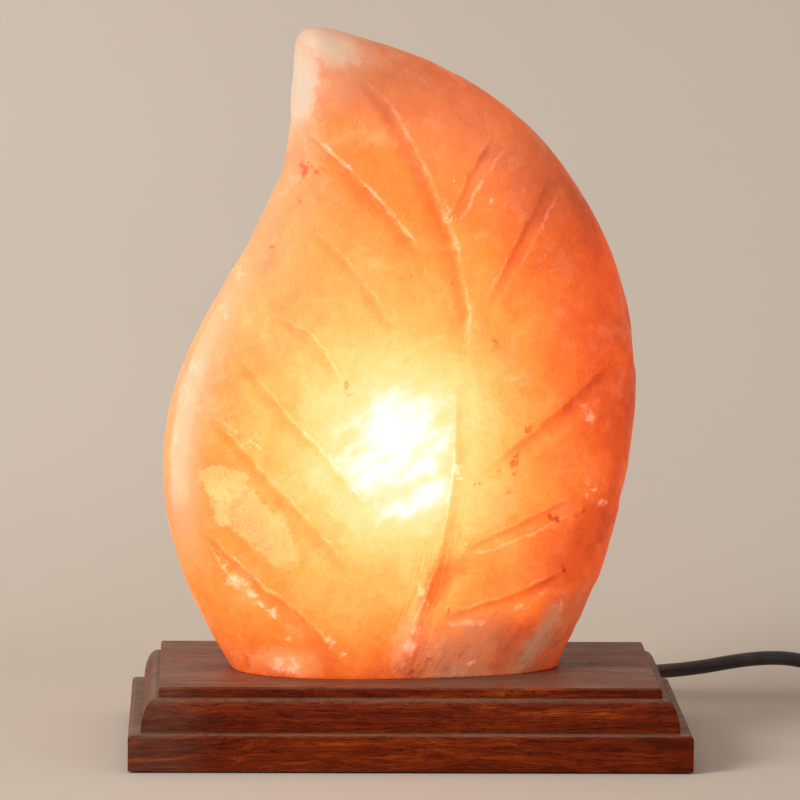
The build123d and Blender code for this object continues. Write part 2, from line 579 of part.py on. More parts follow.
# ================================================================ lamp holder
def make_socket() -> None:
    """The socket's body with its brass parts, cap and terminals."""
    body = disc(SOCKET_RADIUS, SOCKET_BOTTOM, SOCKET_TOP)
    body -= disc(SOCKET_SHELL_RADIUS, PARTITION_TOP, SOCKET_TOP + THROUGH)
    body -= disc(CHAMBER_RADIUS, SOCKET_BOTTOM - THROUGH, PARTITION_BOTTOM)
    for rivet_x in (0.0, RIVET_RADIUS - SHELL_RADIUS):
        body -= disc(RIVET_RADIUS, PARTITION_BOTTOM - THROUGH, PARTITION_TOP + THROUGH, rivet_x)
    screw_top = PARTITION_BOTTOM + TERMINAL_SCREW_GRIP
    for side in (-1, 1):
        body -= disc(TERMINAL_SCREW_RADIUS, PARTITION_BOTTOM - THROUGH, screw_top,
                     x=side * TERMINAL_SPREAD, y=side * TERMINAL_WIDTH / 2)
    write(body, "socket_body")

    shell = ring(SOCKET_SHELL_RADIUS, SHELL_RADIUS + RUN_CLEAR, PARTITION_TOP, SHELL_TOP - SHELL_RIM_DROP)
    shell += ring(SOCKET_SHELL_RADIUS, CONTACT_DISC_RADIUS + SEAT_HOLE_ROOM, PARTITION_TOP,
                  PARTITION_TOP + SHELL_SEAT_THICK)
    write(shell, "socket_shell")

    plate_bottom = PARTITION_BOTTOM - TERMINAL_THICK
    contact = disc(RIVET_RADIUS, PARTITION_BOTTOM, CONTACT_DISC_TOP - CONTACT_DISC_THICK)
    contact += disc(CONTACT_DISC_RADIUS, CONTACT_DISC_TOP - CONTACT_DISC_THICK, CONTACT_DISC_TOP)
    write(contact, "socket_contact")

    plates = []
    screws = []
    for side in (-1, 1):
        screw_x = side * TERMINAL_SPREAD
        screw_y = side * TERMINAL_WIDTH / 2
        inner_x = 0.0 if side > 0 else RIVET_RADIUS - SHELL_RADIUS
        inner_y = 0.0
        margin = RIVET_RADIUS + TERMINAL_MARGIN
        left = min(screw_x, inner_x) - margin
        right = max(screw_x, inner_x) + margin
        low_y = min(inner_y, screw_y) - margin
        high_y = max(inner_y, screw_y) + margin
        plate = block(right - left, high_y - low_y, plate_bottom, PARTITION_BOTTOM,
                      x=(left + right) / 2, y=(low_y + high_y) / 2)
        plate -= disc(TERMINAL_SCREW_RADIUS, plate_bottom - THROUGH, PARTITION_BOTTOM + THROUGH,
                      screw_x, screw_y)
        if side < 0:
            plate += disc(RIVET_RADIUS, PARTITION_BOTTOM, PARTITION_TOP, inner_x, inner_y)
        plates.append(plate)
        screw = disc(TERMINAL_SCREW_RADIUS, plate_bottom, screw_top, screw_x, screw_y)
        screw += disc(TERMINAL_HEAD_RADIUS, plate_bottom - TERMINAL_HEAD_HEIGHT, plate_bottom,
                      screw_x, screw_y)
        screws.append(screw)
    write_group(plates, "terminal_plates")
    write_group(screws, "terminal_screws")

    cap = disc(SOCKET_RADIUS, CAP_BOTTOM, SOCKET_BOTTOM)
    skirt_radius = CHAMBER_RADIUS - CAP_SKIRT_EASE
    cap += ring(skirt_radius, skirt_radius - CAP_SKIRT_WALL, SOCKET_BOTTOM,
                SOCKET_BOTTOM + CAP_SKIRT_HEIGHT)
    for side in (-1, 1):
        cap -= disc(CORE_RADIUS, CAP_BOTTOM - THROUGH, SOCKET_BOTTOM + THROUGH, x=side * CORE_OFFSET)
        cap -= disc(RIVET_RADIUS, CAP_BOTTOM - THROUGH, CAP_BOTTOM + CAP_THICK / 2,
                    side * CLIP_RIVET_SPREAD)
    write(cap, "socket_cap")

    wires = []
    wire_top = plate_bottom - TERMINAL_HEAD_HEIGHT
    for side in (-1, 1):
        route = (
            (side * CORE_OFFSET, 0, CAP_BOTTOM),
            (side * CORE_OFFSET, 0, SOCKET_BOTTOM + CORE_FIRST_RISE),
            (side * TERMINAL_SPREAD, side * TERMINAL_WIDTH / 2, SOCKET_BOTTOM + CORE_SECOND_RISE),
            (side * TERMINAL_SPREAD, side * TERMINAL_WIDTH / 2, wire_top),
        )
        path = FilletPolyline(*route, radius=[CORE_BEND, CORE_BEND])
        section = Plane(origin=path @ 0, z_dir=path % 0) * Circle(CORE_RADIUS)
        wires.append(sweep(section, path=path))
    write_group(wires, "socket_wires")


def make_clips() -> None:
    """The strap under the cap and the two spring arms that brace the holder."""
    strap = block(2 * BRACKET_HALF_LENGTH, CLIP_WIDTH, BRACKET_BOTTOM, CAP_BOTTOM)
    strap -= disc(CORD_RADIUS + FLEX_CLEAR, BRACKET_BOTTOM - THROUGH, CAP_BOTTOM + THROUGH)
    rivets = []
    for side in (-1, 1):
        x = side * CLIP_RIVET_SPREAD
        strap -= disc(RIVET_RADIUS, BRACKET_BOTTOM - THROUGH, CAP_BOTTOM + THROUGH, x)
        rivet = disc(RIVET_RADIUS, BRACKET_BOTTOM, CAP_BOTTOM + CAP_THICK / 2, x)
        rivet += disc(CLIP_RIVET_HEAD_RADIUS, BRACKET_BOTTOM - CLIP_RIVET_HEAD_HEIGHT, BRACKET_BOTTOM, x)
        rivets.append(rivet)
    write(strap, "clip_bracket")
    write_group(rivets, "clip_rivets")

    root_x = BRACKET_HALF_LENGTH + PART_CLEAR + CLIP_THICK / 2
    root_z = (BRACKET_BOTTOM + CAP_BOTTOM) / 2
    route = (
        (root_x, 0, BRACKET_BOTTOM),
        (root_x + CLIP_ROOT_LEAN, 0, root_z + CLIP_ROOT_RISE),
        (CLIP_KNEE_X, 0, root_z + CLIP_KNEE_RISE),
        (CLIP_KNEE_X, 0, root_z + CLIP_KNEE_RISE + CLIP_KNEE_LENGTH),
        (CLIP_KNEE_X - CLIP_TOP_LEAN, 0, root_z + CLIP_TOP_RISE),
    )
    path = FilletPolyline(*route, radius=[CLIP_ROOT_BEND, CLIP_KNEE_BEND, CLIP_KNEE_BEND])
    section = Plane(origin=path @ 0, x_dir=(0, 1, 0), z_dir=path % 0) * Rectangle(CLIP_WIDTH, CLIP_THICK)
    arm = sweep(section, path=path)
    write(arm, "spring_clip_right")
    write(Rot(0, 0, 180) * arm, "spring_clip_left")


# ================================================================ bulb
def glass_outline(inset: float):
    """Half outline of the bulb's glass, drawn in by the given distance."""
    neck_z = SHELL_TOP - NECK_BELOW_SHELL_TOP
    neck = (GLASS_NECK_RADIUS - inset, SHELL_TOP + NECK_ABOVE_SHELL_TOP)
    belly = (BULB_RADIUS - inset, BULB_TOP - BELLY_DROP)
    shoulder = (SHOULDER_SHARE * (BULB_RADIUS - inset), BULB_TOP - SHOULDER_DROP - SHOULDER_SHARE * inset)
    tip = (0, BULB_TOP - inset)
    flank = Spline(neck, belly, shoulder, tip, tangents=[(0.25, 1), (-1, 0)])
    straight = Line((GLASS_NECK_RADIUS - inset, neck_z), neck)
    close = Polyline(tip, (0, neck_z), (GLASS_NECK_RADIUS - inset, neck_z))
    return make_face(Curve() + [straight, flank, close])


def make_bulb() -> None:
    """A small candle-base bulb: glass, screw shell, contact and filament."""
    outer = revolve(Plane.XZ * glass_outline(0), Axis.Z)
    inner = revolve(Plane.XZ * glass_outline(GLASS_WALL), Axis.Z)
    glass = outer - inner
    write(glass, "bulb_glass")

    shell = ring(SHELL_RADIUS, SHELL_RADIUS - SHELL_WALL, SHELL_BOTTOM, SHELL_TOP)
    write(shell, "bulb_shell")

    insulator_bottom = BULB_BOTTOM + CONTACT_HEIGHT
    insulator = Pos(0, 0, insulator_bottom + INSULATOR_HEIGHT / 2) * Cone(
        CONTACT_RADIUS + INSULATOR_LIP, SHELL_RADIUS - SHELL_WALL / 2, INSULATOR_HEIGHT)
    write(insulator, "bulb_insulator")
    contact = Pos(0, 0, BULB_BOTTOM + CONTACT_HEIGHT / 2) * Cone(
        CONTACT_RADIUS * TAPER, CONTACT_RADIUS, CONTACT_HEIGHT)
    write(contact, "bulb_contact")

    collar = disc(GLASS_NECK_RADIUS - GLASS_WALL, STEM_BOTTOM, STEM_BOTTOM + STEM_COLLAR)
    stem = collar + Pos(0, 0, (STEM_BOTTOM + STEM_COLLAR + STEM_TOP) / 2) * Cone(
        STEM_RADIUS, STEM_RADIUS * TAPER, STEM_HEIGHT - STEM_COLLAR)
    write(stem, "bulb_stem")

    wires = []
    for side in (-1, 1):
        root = (side * WIRE_ROOT_SPREAD, 0, STEM_TOP)
        knee = (side * WIRE_ROOT_SPREAD, 0, STEM_TOP + WIRE_KNEE_RISE)
        end = (side * FILAMENT_HALF_WIDTH, 0, FILAMENT_Z)
        path = FilletPolyline(root, knee, end, radius=[WIRE_BEND])
        section = Plane(origin=path @ 0, z_dir=path % 0) * Circle(LEAD_WIRE_RADIUS)
        wires.append(sweep(section, path=path))
    write_group(wires, "bulb_lead_wires")

    ends = FILAMENT_Z + LEAD_WIRE_RADIUS
    top = ends + FILAMENT_RISE
    path = FilletPolyline(
        (-FILAMENT_HALF_WIDTH, 0, ends), (-FILAMENT_HALF_WIDTH / 2, 0, top),
        (FILAMENT_HALF_WIDTH / 2, 0, top), (FILAMENT_HALF_WIDTH, 0, ends), radius=[WIRE_BEND, WIRE_BEND])
    section = Plane(origin=path @ 0, z_dir=path % 0) * Circle(FILAMENT_RADIUS)
    write(sweep(section, path=path), "bulb_filament")


# ================================================================ dimmer
def dimmer_block(inset: float, bottom: float, top: float):
    """The dimmer's rounded plan, drawn in by the given distance."""
    plan = RectangleRounded(DIMMER_LENGTH - 2 * inset, DIMMER_WIDTH - 2 * inset, DIMMER_CORNER - inset)
    return Pos(DIMMER_X, DIMMER_Y, bottom) * extrude(plan, top - bottom)


def boot_solid():
    """One tapered relief, its tip along +X and its root face at the origin."""
    groove_end = -DIMMER_WALL
    boot = tapered_relief(BOOT_ROOT_RADIUS, BOOT_TIP_RADIUS, BOOT_LENGTH)
    boot += disc(BOOT_NECK_RADIUS, groove_end, 0)
    boot += disc(BOOT_ROOT_RADIUS, groove_end - BOOT_PLUG_LENGTH, groove_end)
    return Rot(0, QUARTER_TURN, 0) * boot


def make_dimmer() -> None:
    """The in-line dimmer: two casing halves, dial, electronics, screws, reliefs."""
    centre = Pos(DIMMER_X, DIMMER_Y, 0)
    necks = []
    for side in (-1, 1):
        necks.append(Pos(DIMMER_X + side * DIMMER_LENGTH / 2, DIMMER_Y, DIMMER_CORD_Z)
                     * Rot(0, QUARTER_TURN, 0) * Cylinder(BOOT_NECK_RADIUS, 4 * DIMMER_WALL))

    base = dimmer_block(0, 0, DIMMER_SPLIT_Z)
    base = chamfer(base.faces().sort_by(Axis.Z)[0].outer_wire().edges(), DIMMER_FOOT_EASE)
    base -= dimmer_block(DIMMER_WALL, DIMMER_WALL, DIMMER_SPLIT_Z + THROUGH)
    for side in (-1, 1):
        x, y = side * POST_SPREAD_X, side * POST_SPREAD_Y
        base += centre * disc(POST_RADIUS, DIMMER_WALL, POST_SPLIT_Z, x, y)
        base -= centre * disc(DIMMER_SCREW_RADIUS + RUN_CLEAR, -THROUGH, DIMMER_SPLIT_Z + THROUGH, x, y)
        base -= centre * disc(DIMMER_SCREW_HEAD + PART_CLEAR, -THROUGH, DIMMER_WALL, x, y)
        for side_y in (-1, 1):
            base += centre * disc(BOARD_POST_RADIUS, DIMMER_WALL, BOARD_BOTTOM_Z,
                                  side * BOARD_POST_X, side_y * BOARD_POST_Y)
    for neck in necks:
        base -= neck
    write(base, "dimmer_base")

    cover = dimmer_block(0, DIMMER_SPLIT_Z, DIMMER_TOP_Z)
    cover = fillet(cover.faces().sort_by(Axis.Z)[-1].outer_wire().edges(), DIMMER_EASE)
    cover -= dimmer_block(DIMMER_WALL, DIMMER_SPLIT_Z - THROUGH, DIMMER_TOP_Z - DIMMER_WALL)
    recess_floor = DIMMER_TOP_Z - DIAL_RECESS
    cover += centre * disc(DIAL_RADIUS + PART_CLEAR + DIAL_CUP_WALL, recess_floor - DIAL_CUP_WALL,
                           DIMMER_TOP_Z)
    cover -= centre * disc(DIAL_RADIUS + PART_CLEAR, recess_floor, DIMMER_TOP_Z + THROUGH)
    cover -= centre * disc(SPINDLE_RADIUS + RUN_CLEAR, DIMMER_SPLIT_Z, DIMMER_TOP_Z + THROUGH)
    screws = []
    for side in (-1, 1):
        x, y = side * POST_SPREAD_X, side * POST_SPREAD_Y
        screw_top = DIMMER_TOP_Z - DIMMER_WALL - DIMMER_SCREW_COVER
        cover += centre * disc(POST_RADIUS, POST_SPLIT_Z, DIMMER_TOP_Z - DIMMER_WALL, x, y)
        cover -= centre * disc(DIMMER_SCREW_RADIUS, POST_SPLIT_Z - THROUGH, screw_top, x, y)
        screw = disc(DIMMER_SCREW_RADIUS, DIMMER_HEAD_Z, screw_top, x, y)
        screw += disc(DIMMER_SCREW_HEAD, DIMMER_HEAD_Z, DIMMER_WALL, x, y)
        screw -= block(2 * DIMMER_SCREW_HEAD, DIMMER_SLOT_WIDTH, 0, DIMMER_HEAD_Z + DIMMER_SLOT_DEPTH, x, y)
        screws.append(centre * screw)
    for neck in necks:
        cover -= neck
    write(cover, "dimmer_cover")
    write_group(screws, "dimmer_screws")

    dial = disc(DIAL_RADIUS - DIAL_RIB_RADIUS, DIAL_BOTTOM_Z, DIAL_BOTTOM_Z + DIAL_THICK)
    dial = fillet(dial.faces().sort_by(Axis.Z)[-1].edges(), DIAL_EASE)
    dial_top = DIAL_BOTTOM_Z + DIAL_THICK
    for step in range(DIAL_RIB_COUNT):
        place = Rot(0, 0, 360 * step / DIAL_RIB_COUNT)
        dial += place * disc(DIAL_RIB_RADIUS, DIAL_BOTTOM_Z, dial_top - DIAL_RIB_DROP,
                             DIAL_RADIUS - DIAL_RIB_RADIUS)
    dial -= block(DIAL_MARK_LENGTH, DIAL_MARK_WIDTH, dial_top - DIAL_MARK_DEPTH, dial_top + THROUGH,
                  x=DIAL_RADIUS / 2)
    write(centre * dial, "dimmer_dial")
    spindle = disc(SPINDLE_RADIUS, POT_TOP_Z - POT_HEIGHT / 2, DIAL_BOTTOM_Z)
    write(centre * spindle, "dimmer_spindle")

    board = block(BOARD_LENGTH, BOARD_WIDTH, BOARD_BOTTOM_Z, BOARD_TOP_Z)
    write(centre * board, "dimmer_board")
    pot = block(POT_SIZE, POT_SIZE, BOARD_TOP_Z, POT_TOP_Z)
    pot -= disc(SPINDLE_RADIUS + RUN_CLEAR, BOARD_TOP_Z + POT_FLOOR, POT_TOP_Z + THROUGH)
    write(centre * pot, "dimmer_potentiometer")
    for side, size, node in ((-1, TRIAC_SIZE, "dimmer_triac"), (1, CAPACITOR_SIZE, "dimmer_capacitor")):
        part = block(size[0], size[1], BOARD_TOP_Z, BOARD_TOP_Z + size[2], x=side * PART_SPREAD)
        part = fillet(part.edges().filter_by(Axis.Z), PACKAGE_EASE)
        write(centre * part, node)

    boots = []
    for side in (-1, 1):
        place = Pos(DIMMER_X + side * DIMMER_LENGTH / 2, DIMMER_Y, DIMMER_CORD_Z)
        turn = Rot(0, 0, 0 if side > 0 else 180)
        boots.append(place * turn * boot_solid())
    write_group(boots, "dimmer_boots")


# ================================================================ coil and plug
def make_coil() -> None:
    """The put-away length as one closed ring, with the tie round it."""
    inner = COIL_TURN_RADIUS - COIL_BAND / 2
    outer = COIL_TURN_RADIUS + COIL_BAND / 2
    coil = ring(outer, inner, TIE_THICK, TIE_THICK + COIL_HEIGHT)
    coil = fillet(coil.edges().filter_by(GeomType.CIRCLE), COIL_EASE)
    write(Pos(COIL_X, COIL_Y, 0) * coil, "cord_coil")

    inside = COIL_BAND + 2 * TIE_SLACK
    window = block(inside, TIE_WIDTH + THROUGH, TIE_THICK, TIE_THICK + COIL_HEIGHT)
    tie = block(inside + 2 * TIE_THICK, TIE_WIDTH, 0, 2 * TIE_THICK + COIL_HEIGHT)
    tie = fillet(tie.edges().filter_by(Axis.Y), TIE_THICK) - window
    tie = Pos(COIL_X, COIL_Y, 0) * Rot(0, 0, TIE_TURN) * Pos(COIL_TURN_RADIUS, 0, 0) * tie
    write(tie, "coil_tie")


def make_plug() -> None:
    """A two-blade plug lying flat, its blades to the left."""
    face = Plane.YZ * RectangleRounded(PLUG_WIDTH, PLUG_HEIGHT, PLUG_CORNER)
    nose = Plane.YZ * RectangleRounded(PLUG_NOSE_WIDTH, PLUG_NOSE_HEIGHT, PLUG_CORNER)
    body = extrude(face, PLUG_WAIST)
    body = fillet(body.faces().sort_by(Axis.X)[0].outer_wire().edges(), PLUG_FACE_EASE)
    body += loft([Pos(PLUG_WAIST, 0, 0) * face, Pos(PLUG_LENGTH, 0, 0) * nose], ruled=True)
    body += Pos(PLUG_LENGTH, 0, 0) * Rot(0, QUARTER_TURN, 0) * tapered_relief(
        BOOT_ROOT_RADIUS, BOOT_TIP_RADIUS, PLUG_RELIEF_LENGTH)
    blades = []
    for side in (-1, 1):
        x = (BLADE_ROOT - BLADE_LENGTH) / 2
        y = side * BLADE_SPACING / 2
        body -= Pos(BLADE_ROOT / 2, y, 0) * Box(BLADE_ROOT, BLADE_THICK, BLADE_WIDTH)
        blade = Pos(x, y, 0) * Box(BLADE_LENGTH + BLADE_ROOT, BLADE_THICK, BLADE_WIDTH)
        blade -= Pos(BLADE_HOLE_INSET - BLADE_LENGTH, y, 0) * Rot(QUARTER_TURN, 0, 0) * Cylinder(
            BLADE_HOLE_RADIUS, 2 * BLADE_THICK)
        blades.append(blade)
    place = Pos(PLUG_X - PLUG_LENGTH, PLUG_Y, PLUG_Z)
    write(place * body, "plug_body")
    write_group([place * blade for blade in blades], "plug_blades")


make_plinth()
make_salt()
make_cord_entry()
make_socket()
make_clips()
make_bulb()
make_dimmer()
make_coil()
make_plug()
write(cord_tube(LAMP_CORD_ROUTE, CORD_RADIUS, "lamp_cord"), "lamp_cord")
write(cord_tube(MAINS_CORD_ROUTE, CORD_RADIUS, "mains_cord"), "mains_cord")
write(cord_tube(PLUG_LEAD_ROUTE, CORD_RADIUS, "plug_lead"), "plug_lead")
print("plinth top", PLINTH_TOP, "bulb top", BULB_TOP, "socket bottom", CAP_BOTTOM)
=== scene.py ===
"""Looks of a salt crystal lamp, built round its packed construction.

A carved leaf of rock salt glows from the small bulb in its bore. It stands on a moulded plinth
of stained wood. A black cord leaves the plinth's back, passes an in-line dimmer and ends in a
tied coil and a plug. Metres, +Z up; the carved front looks along -Y.
"""

import logging
import math
from dataclasses import dataclass
from enum import Enum
from typing import Any, Optional, Sequence

import bpy
import numpy as np
from mathutils import Matrix, Vector


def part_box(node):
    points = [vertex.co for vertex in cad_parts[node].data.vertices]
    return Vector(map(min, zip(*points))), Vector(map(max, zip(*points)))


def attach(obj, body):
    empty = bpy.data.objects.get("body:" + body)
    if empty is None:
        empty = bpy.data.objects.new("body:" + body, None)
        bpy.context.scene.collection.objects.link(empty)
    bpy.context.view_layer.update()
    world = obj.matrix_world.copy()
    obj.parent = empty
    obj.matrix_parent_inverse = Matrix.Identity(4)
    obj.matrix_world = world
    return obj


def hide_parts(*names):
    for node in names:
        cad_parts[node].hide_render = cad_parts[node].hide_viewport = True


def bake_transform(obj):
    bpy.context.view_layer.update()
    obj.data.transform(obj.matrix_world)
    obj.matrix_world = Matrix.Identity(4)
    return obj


MM = 0.001
LOG = logging.getLogger("salt_lamp")

Colour = tuple[float, float, float]
Point = tuple[float, float, float]
Pair = tuple[float, float]
Node = bpy.types.Node
Piece = bpy.types.Object
Socket = bpy.types.NodeSocket
Tree = bpy.types.NodeTree


def each_axis(value: Any) -> Point:
    """One number for all three axes, or the three numbers as they are."""
    return (value,) * 3 if isinstance(value, float) else value


class Body(Enum):
    """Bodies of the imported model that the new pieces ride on."""

    LAMP = "lamp"
    HOLDER = "holder"


class Slot(Enum):
    """Material slots of the record."""

    SALT = "rock_salt"
    CORD = "black_cord"


def shade(colour: Colour, factor: float, lift: float = 0.0) -> Colour:
    """Darken or brighten a colour, and lift it, without going past white."""
    return tuple(min(1.0, channel * factor + lift) for channel in colour)


# ---------------------------------------------------------------- shader wiring
class Graph:
    """A shader node tree while it is being wired."""

    def __init__(self, tree: Tree) -> None:
        """Keep the tree that gets the nodes."""
        self.tree = tree

    def node(self, kind: str, **settings: Any) -> Node:
        """Add a node.

        Args:
            kind: Blender's name of the node type.
            settings: properties to set on it.

        Returns:
            The new node.
        """
        made = self.tree.nodes.new(kind)
        for name, value in settings.items():
            setattr(made, name, value)
        return made

    def feed(self, socket: Socket, value: Any) -> None:
        """Link a socket to an output, or set its own value.

        Args:
            socket: the input that is fed.
            value: an output socket, a number, or a sequence of numbers.
        """
        if isinstance(value, Socket):
            self.tree.links.new(value, socket)
        elif socket.type == "RGBA" and len(value) == 3:
            socket.default_value = (*value, 1.0)
        else:
            socket.default_value = value

    def maths(self, operation: str, *values: Any) -> Socket:
        """Work out a number, such as ADD or MULTIPLY of the values."""
        made = self.node("ShaderNodeMath", operation=operation)
        for socket, value in zip(made.inputs, values):
            self.feed(socket, value)
        return made.outputs[0]

    def times(self, first: Any, *others: Any) -> Socket:
        """Multiply numbers."""
        for other in others:
            first = self.maths("MULTIPLY", first, other)
        return first

    def most(self, first: Any, second: Any) -> Socket:
        """Take the larger of two numbers."""
        return self.maths("MAXIMUM", first, second)

    def shift(self, base: Any, mask: Any, amount: Any) -> Socket:
        """Add an amount to a number, as far as a mask lets it."""
        return self.maths("MULTIPLY_ADD", mask, amount, base)

    def vector(self, operation: str, *values: Any) -> Socket:
        """Work out a vector, or the number that LENGTH gives."""
        made = self.node("ShaderNodeVectorMath", operation=operation)
        sockets = [made.inputs[0], made.inputs["Scale"]] if operation == "SCALE" else made.inputs
        for socket, value in zip(sockets, values):
            self.feed(socket, value)
        return made.outputs["Value" if operation == "LENGTH" else "Vector"]

    def parts(self, vector: Any) -> tuple[Socket, Socket, Socket]:
        """Split a vector into its X, Y and Z."""
        made = self.node("ShaderNodeSeparateXYZ")
        self.feed(made.inputs[0], vector)
        return tuple(made.outputs)

    def turned(self, place: Any, angle: Any) -> Socket:
        """Turn a place in the plane of the leaf."""
        made = self.node("ShaderNodeVectorRotate", rotation_type="Y_AXIS")
        self.feed(made.inputs["Vector"], place)
        self.feed(made.inputs["Angle"], angle)
        return made.outputs[0]

    def span(self, value: Any, low: Any, high: Any, to_low: float = 0.0,
             to_high: float = 1.0, smooth: bool = False) -> Socket:
        """Map a range of a number to another range, clamped.

        Args:
            value: the number.
            low: start of the range.
            high: end of the range.
            to_low: result at the start.
            to_high: result at the end.
            smooth: ease in and out.

        Returns:
            The mapped number.
        """
        made = self.node("ShaderNodeMapRange", interpolation_type="SMOOTHSTEP" if smooth else "LINEAR")
        for socket, number in zip(made.inputs, (value, low, high, to_low, to_high)):
            self.feed(socket, number)
        return made.outputs[0]

    def mix(self, share: Any, first: Any, second: Any) -> Socket:
        """Mix two colours by a share of the second."""
        made = self.node("ShaderNodeMix", data_type="RGBA")
        sockets = [made.inputs["Factor"], *(socket for socket in made.inputs if socket.type == "RGBA")]
        for socket, value in zip(sockets, (share, first, second)):
            self.feed(socket, value)
        return made.outputs[2]

    def layers(self, colour: Any, *films: tuple[Any, Any]) -> Socket:
        """Lay other colours over one, as (mask, colour), from the lowest to the top one."""
        for mask, film in films:
            colour = self.mix(mask, colour, film)
        return colour

    def ramp(self, value: Any, stops: Sequence[tuple[float, Colour]]) -> Socket:
        """Colour a number by a list of (place, colour) stops."""
        made = self.node("ShaderNodeValToRGB")
        while len(made.color_ramp.elements) < len(stops):
            made.color_ramp.elements.new(1.0)
        for element, (place, colour) in zip(made.color_ramp.elements, stops):
            element.position = place
            element.color = (*colour, 1.0)
        self.feed(made.inputs[0], value)
        return made.outputs[0]

    def curve(self, value: Any, points: Sequence[Pair]) -> Socket:
        """Map a number by a smooth curve through points."""
        made = self.node("ShaderNodeFloatCurve")
        line = made.mapping.curves[0]
        while len(line.points) < len(points):
            line.points.new(0.5, 0.5)
        for point, place in zip(line.points, points):
            point.location = place
        made.mapping.update()
        self.feed(made.inputs["Value"], value)
        return made.outputs[0]

    def noise(self, place: Any, size: Any, detail: float = 3.0, rough: float = 0.5,
              colour: bool = False) -> Socket:
        """Cloudy noise whose lumps are about one size unit across.

        Args:
            place: where, a vector.
            size: lump size, one number or one for each axis, in the units of place.
            detail: octaves of finer lumps.
            rough: weight of the finer lumps.
            colour: give three independent values and not one.

        Returns:
            A number or a colour around one half.
        """
        made = self.node("ShaderNodeTexNoise")
        self._set_place(made, place, size)
        self.feed(made.inputs["Detail"], detail)
        self.feed(made.inputs["Roughness"], rough)
        return made.outputs["Color" if colour else "Fac"]

    def cells(self, place: Any, size: Any) -> Socket:
        """Distance to the middle of the nearest of loose cells about one size unit across."""
        made = self.node("ShaderNodeTexVoronoi")
        self._set_place(made, place, size)
        return made.outputs["Distance"]

    def _set_place(self, texture: Node, place: Any, size: Any) -> None:
        """Feed a texture with a place measured in sizes."""
        self.feed(texture.inputs["Vector"], self.vector("DIVIDE", place, each_axis(size)))
        self.feed(texture.inputs["Scale"], 1.0)

    def wander(self, place: Any, size: Any, rough: float, reach: Any) -> Socket:
        """Slow random shifts of a place: up to half the reach each way."""
        drift = self.noise(place, size, 3.0, rough, colour=True)
        return self.vector("MULTIPLY", self.vector("SUBTRACT", drift, each_axis(0.5)), each_axis(reach))

    def bump(self, height: Any, depth: float) -> Socket:
        """Turn a height of 0 to 1 into a normal, for relief of a real depth in millimetres."""
        made = self.node("ShaderNodeBump")
        for name, value in (("Strength", 1.0), ("Distance", depth * MM), ("Height", height)):
            self.feed(made.inputs[name], value)
        return made.outputs[0]

    def millimetres(self) -> Socket:
        """The place on the piece, in the row frame, in millimetres."""
        place = self.node("ShaderNodeTexCoord").outputs["Object"]
        return self.vector("SCALE", place, 1 / MM)

    def group(self, kind: "Effect", **values: Any) -> Socket:
        """Place a shared effect with its own values, and take its first output."""
        made = self.node("ShaderNodeGroup")
        made.node_tree = EffectShelf.get(kind)
        for name, value in values.items():
            self.feed(made.inputs[name], value)
        return made.outputs[0]


class Effect(Enum):
    """Effects that several finishes share."""

    MOTTLE = "Mottle"
    GRAIN = "Fine Grain"
    GLOSS = "Uneven Gloss"
    SCUFFS = "Scuffs"
    DUST = "Dust"
    SOFT_PATCH = "Soft Patch"


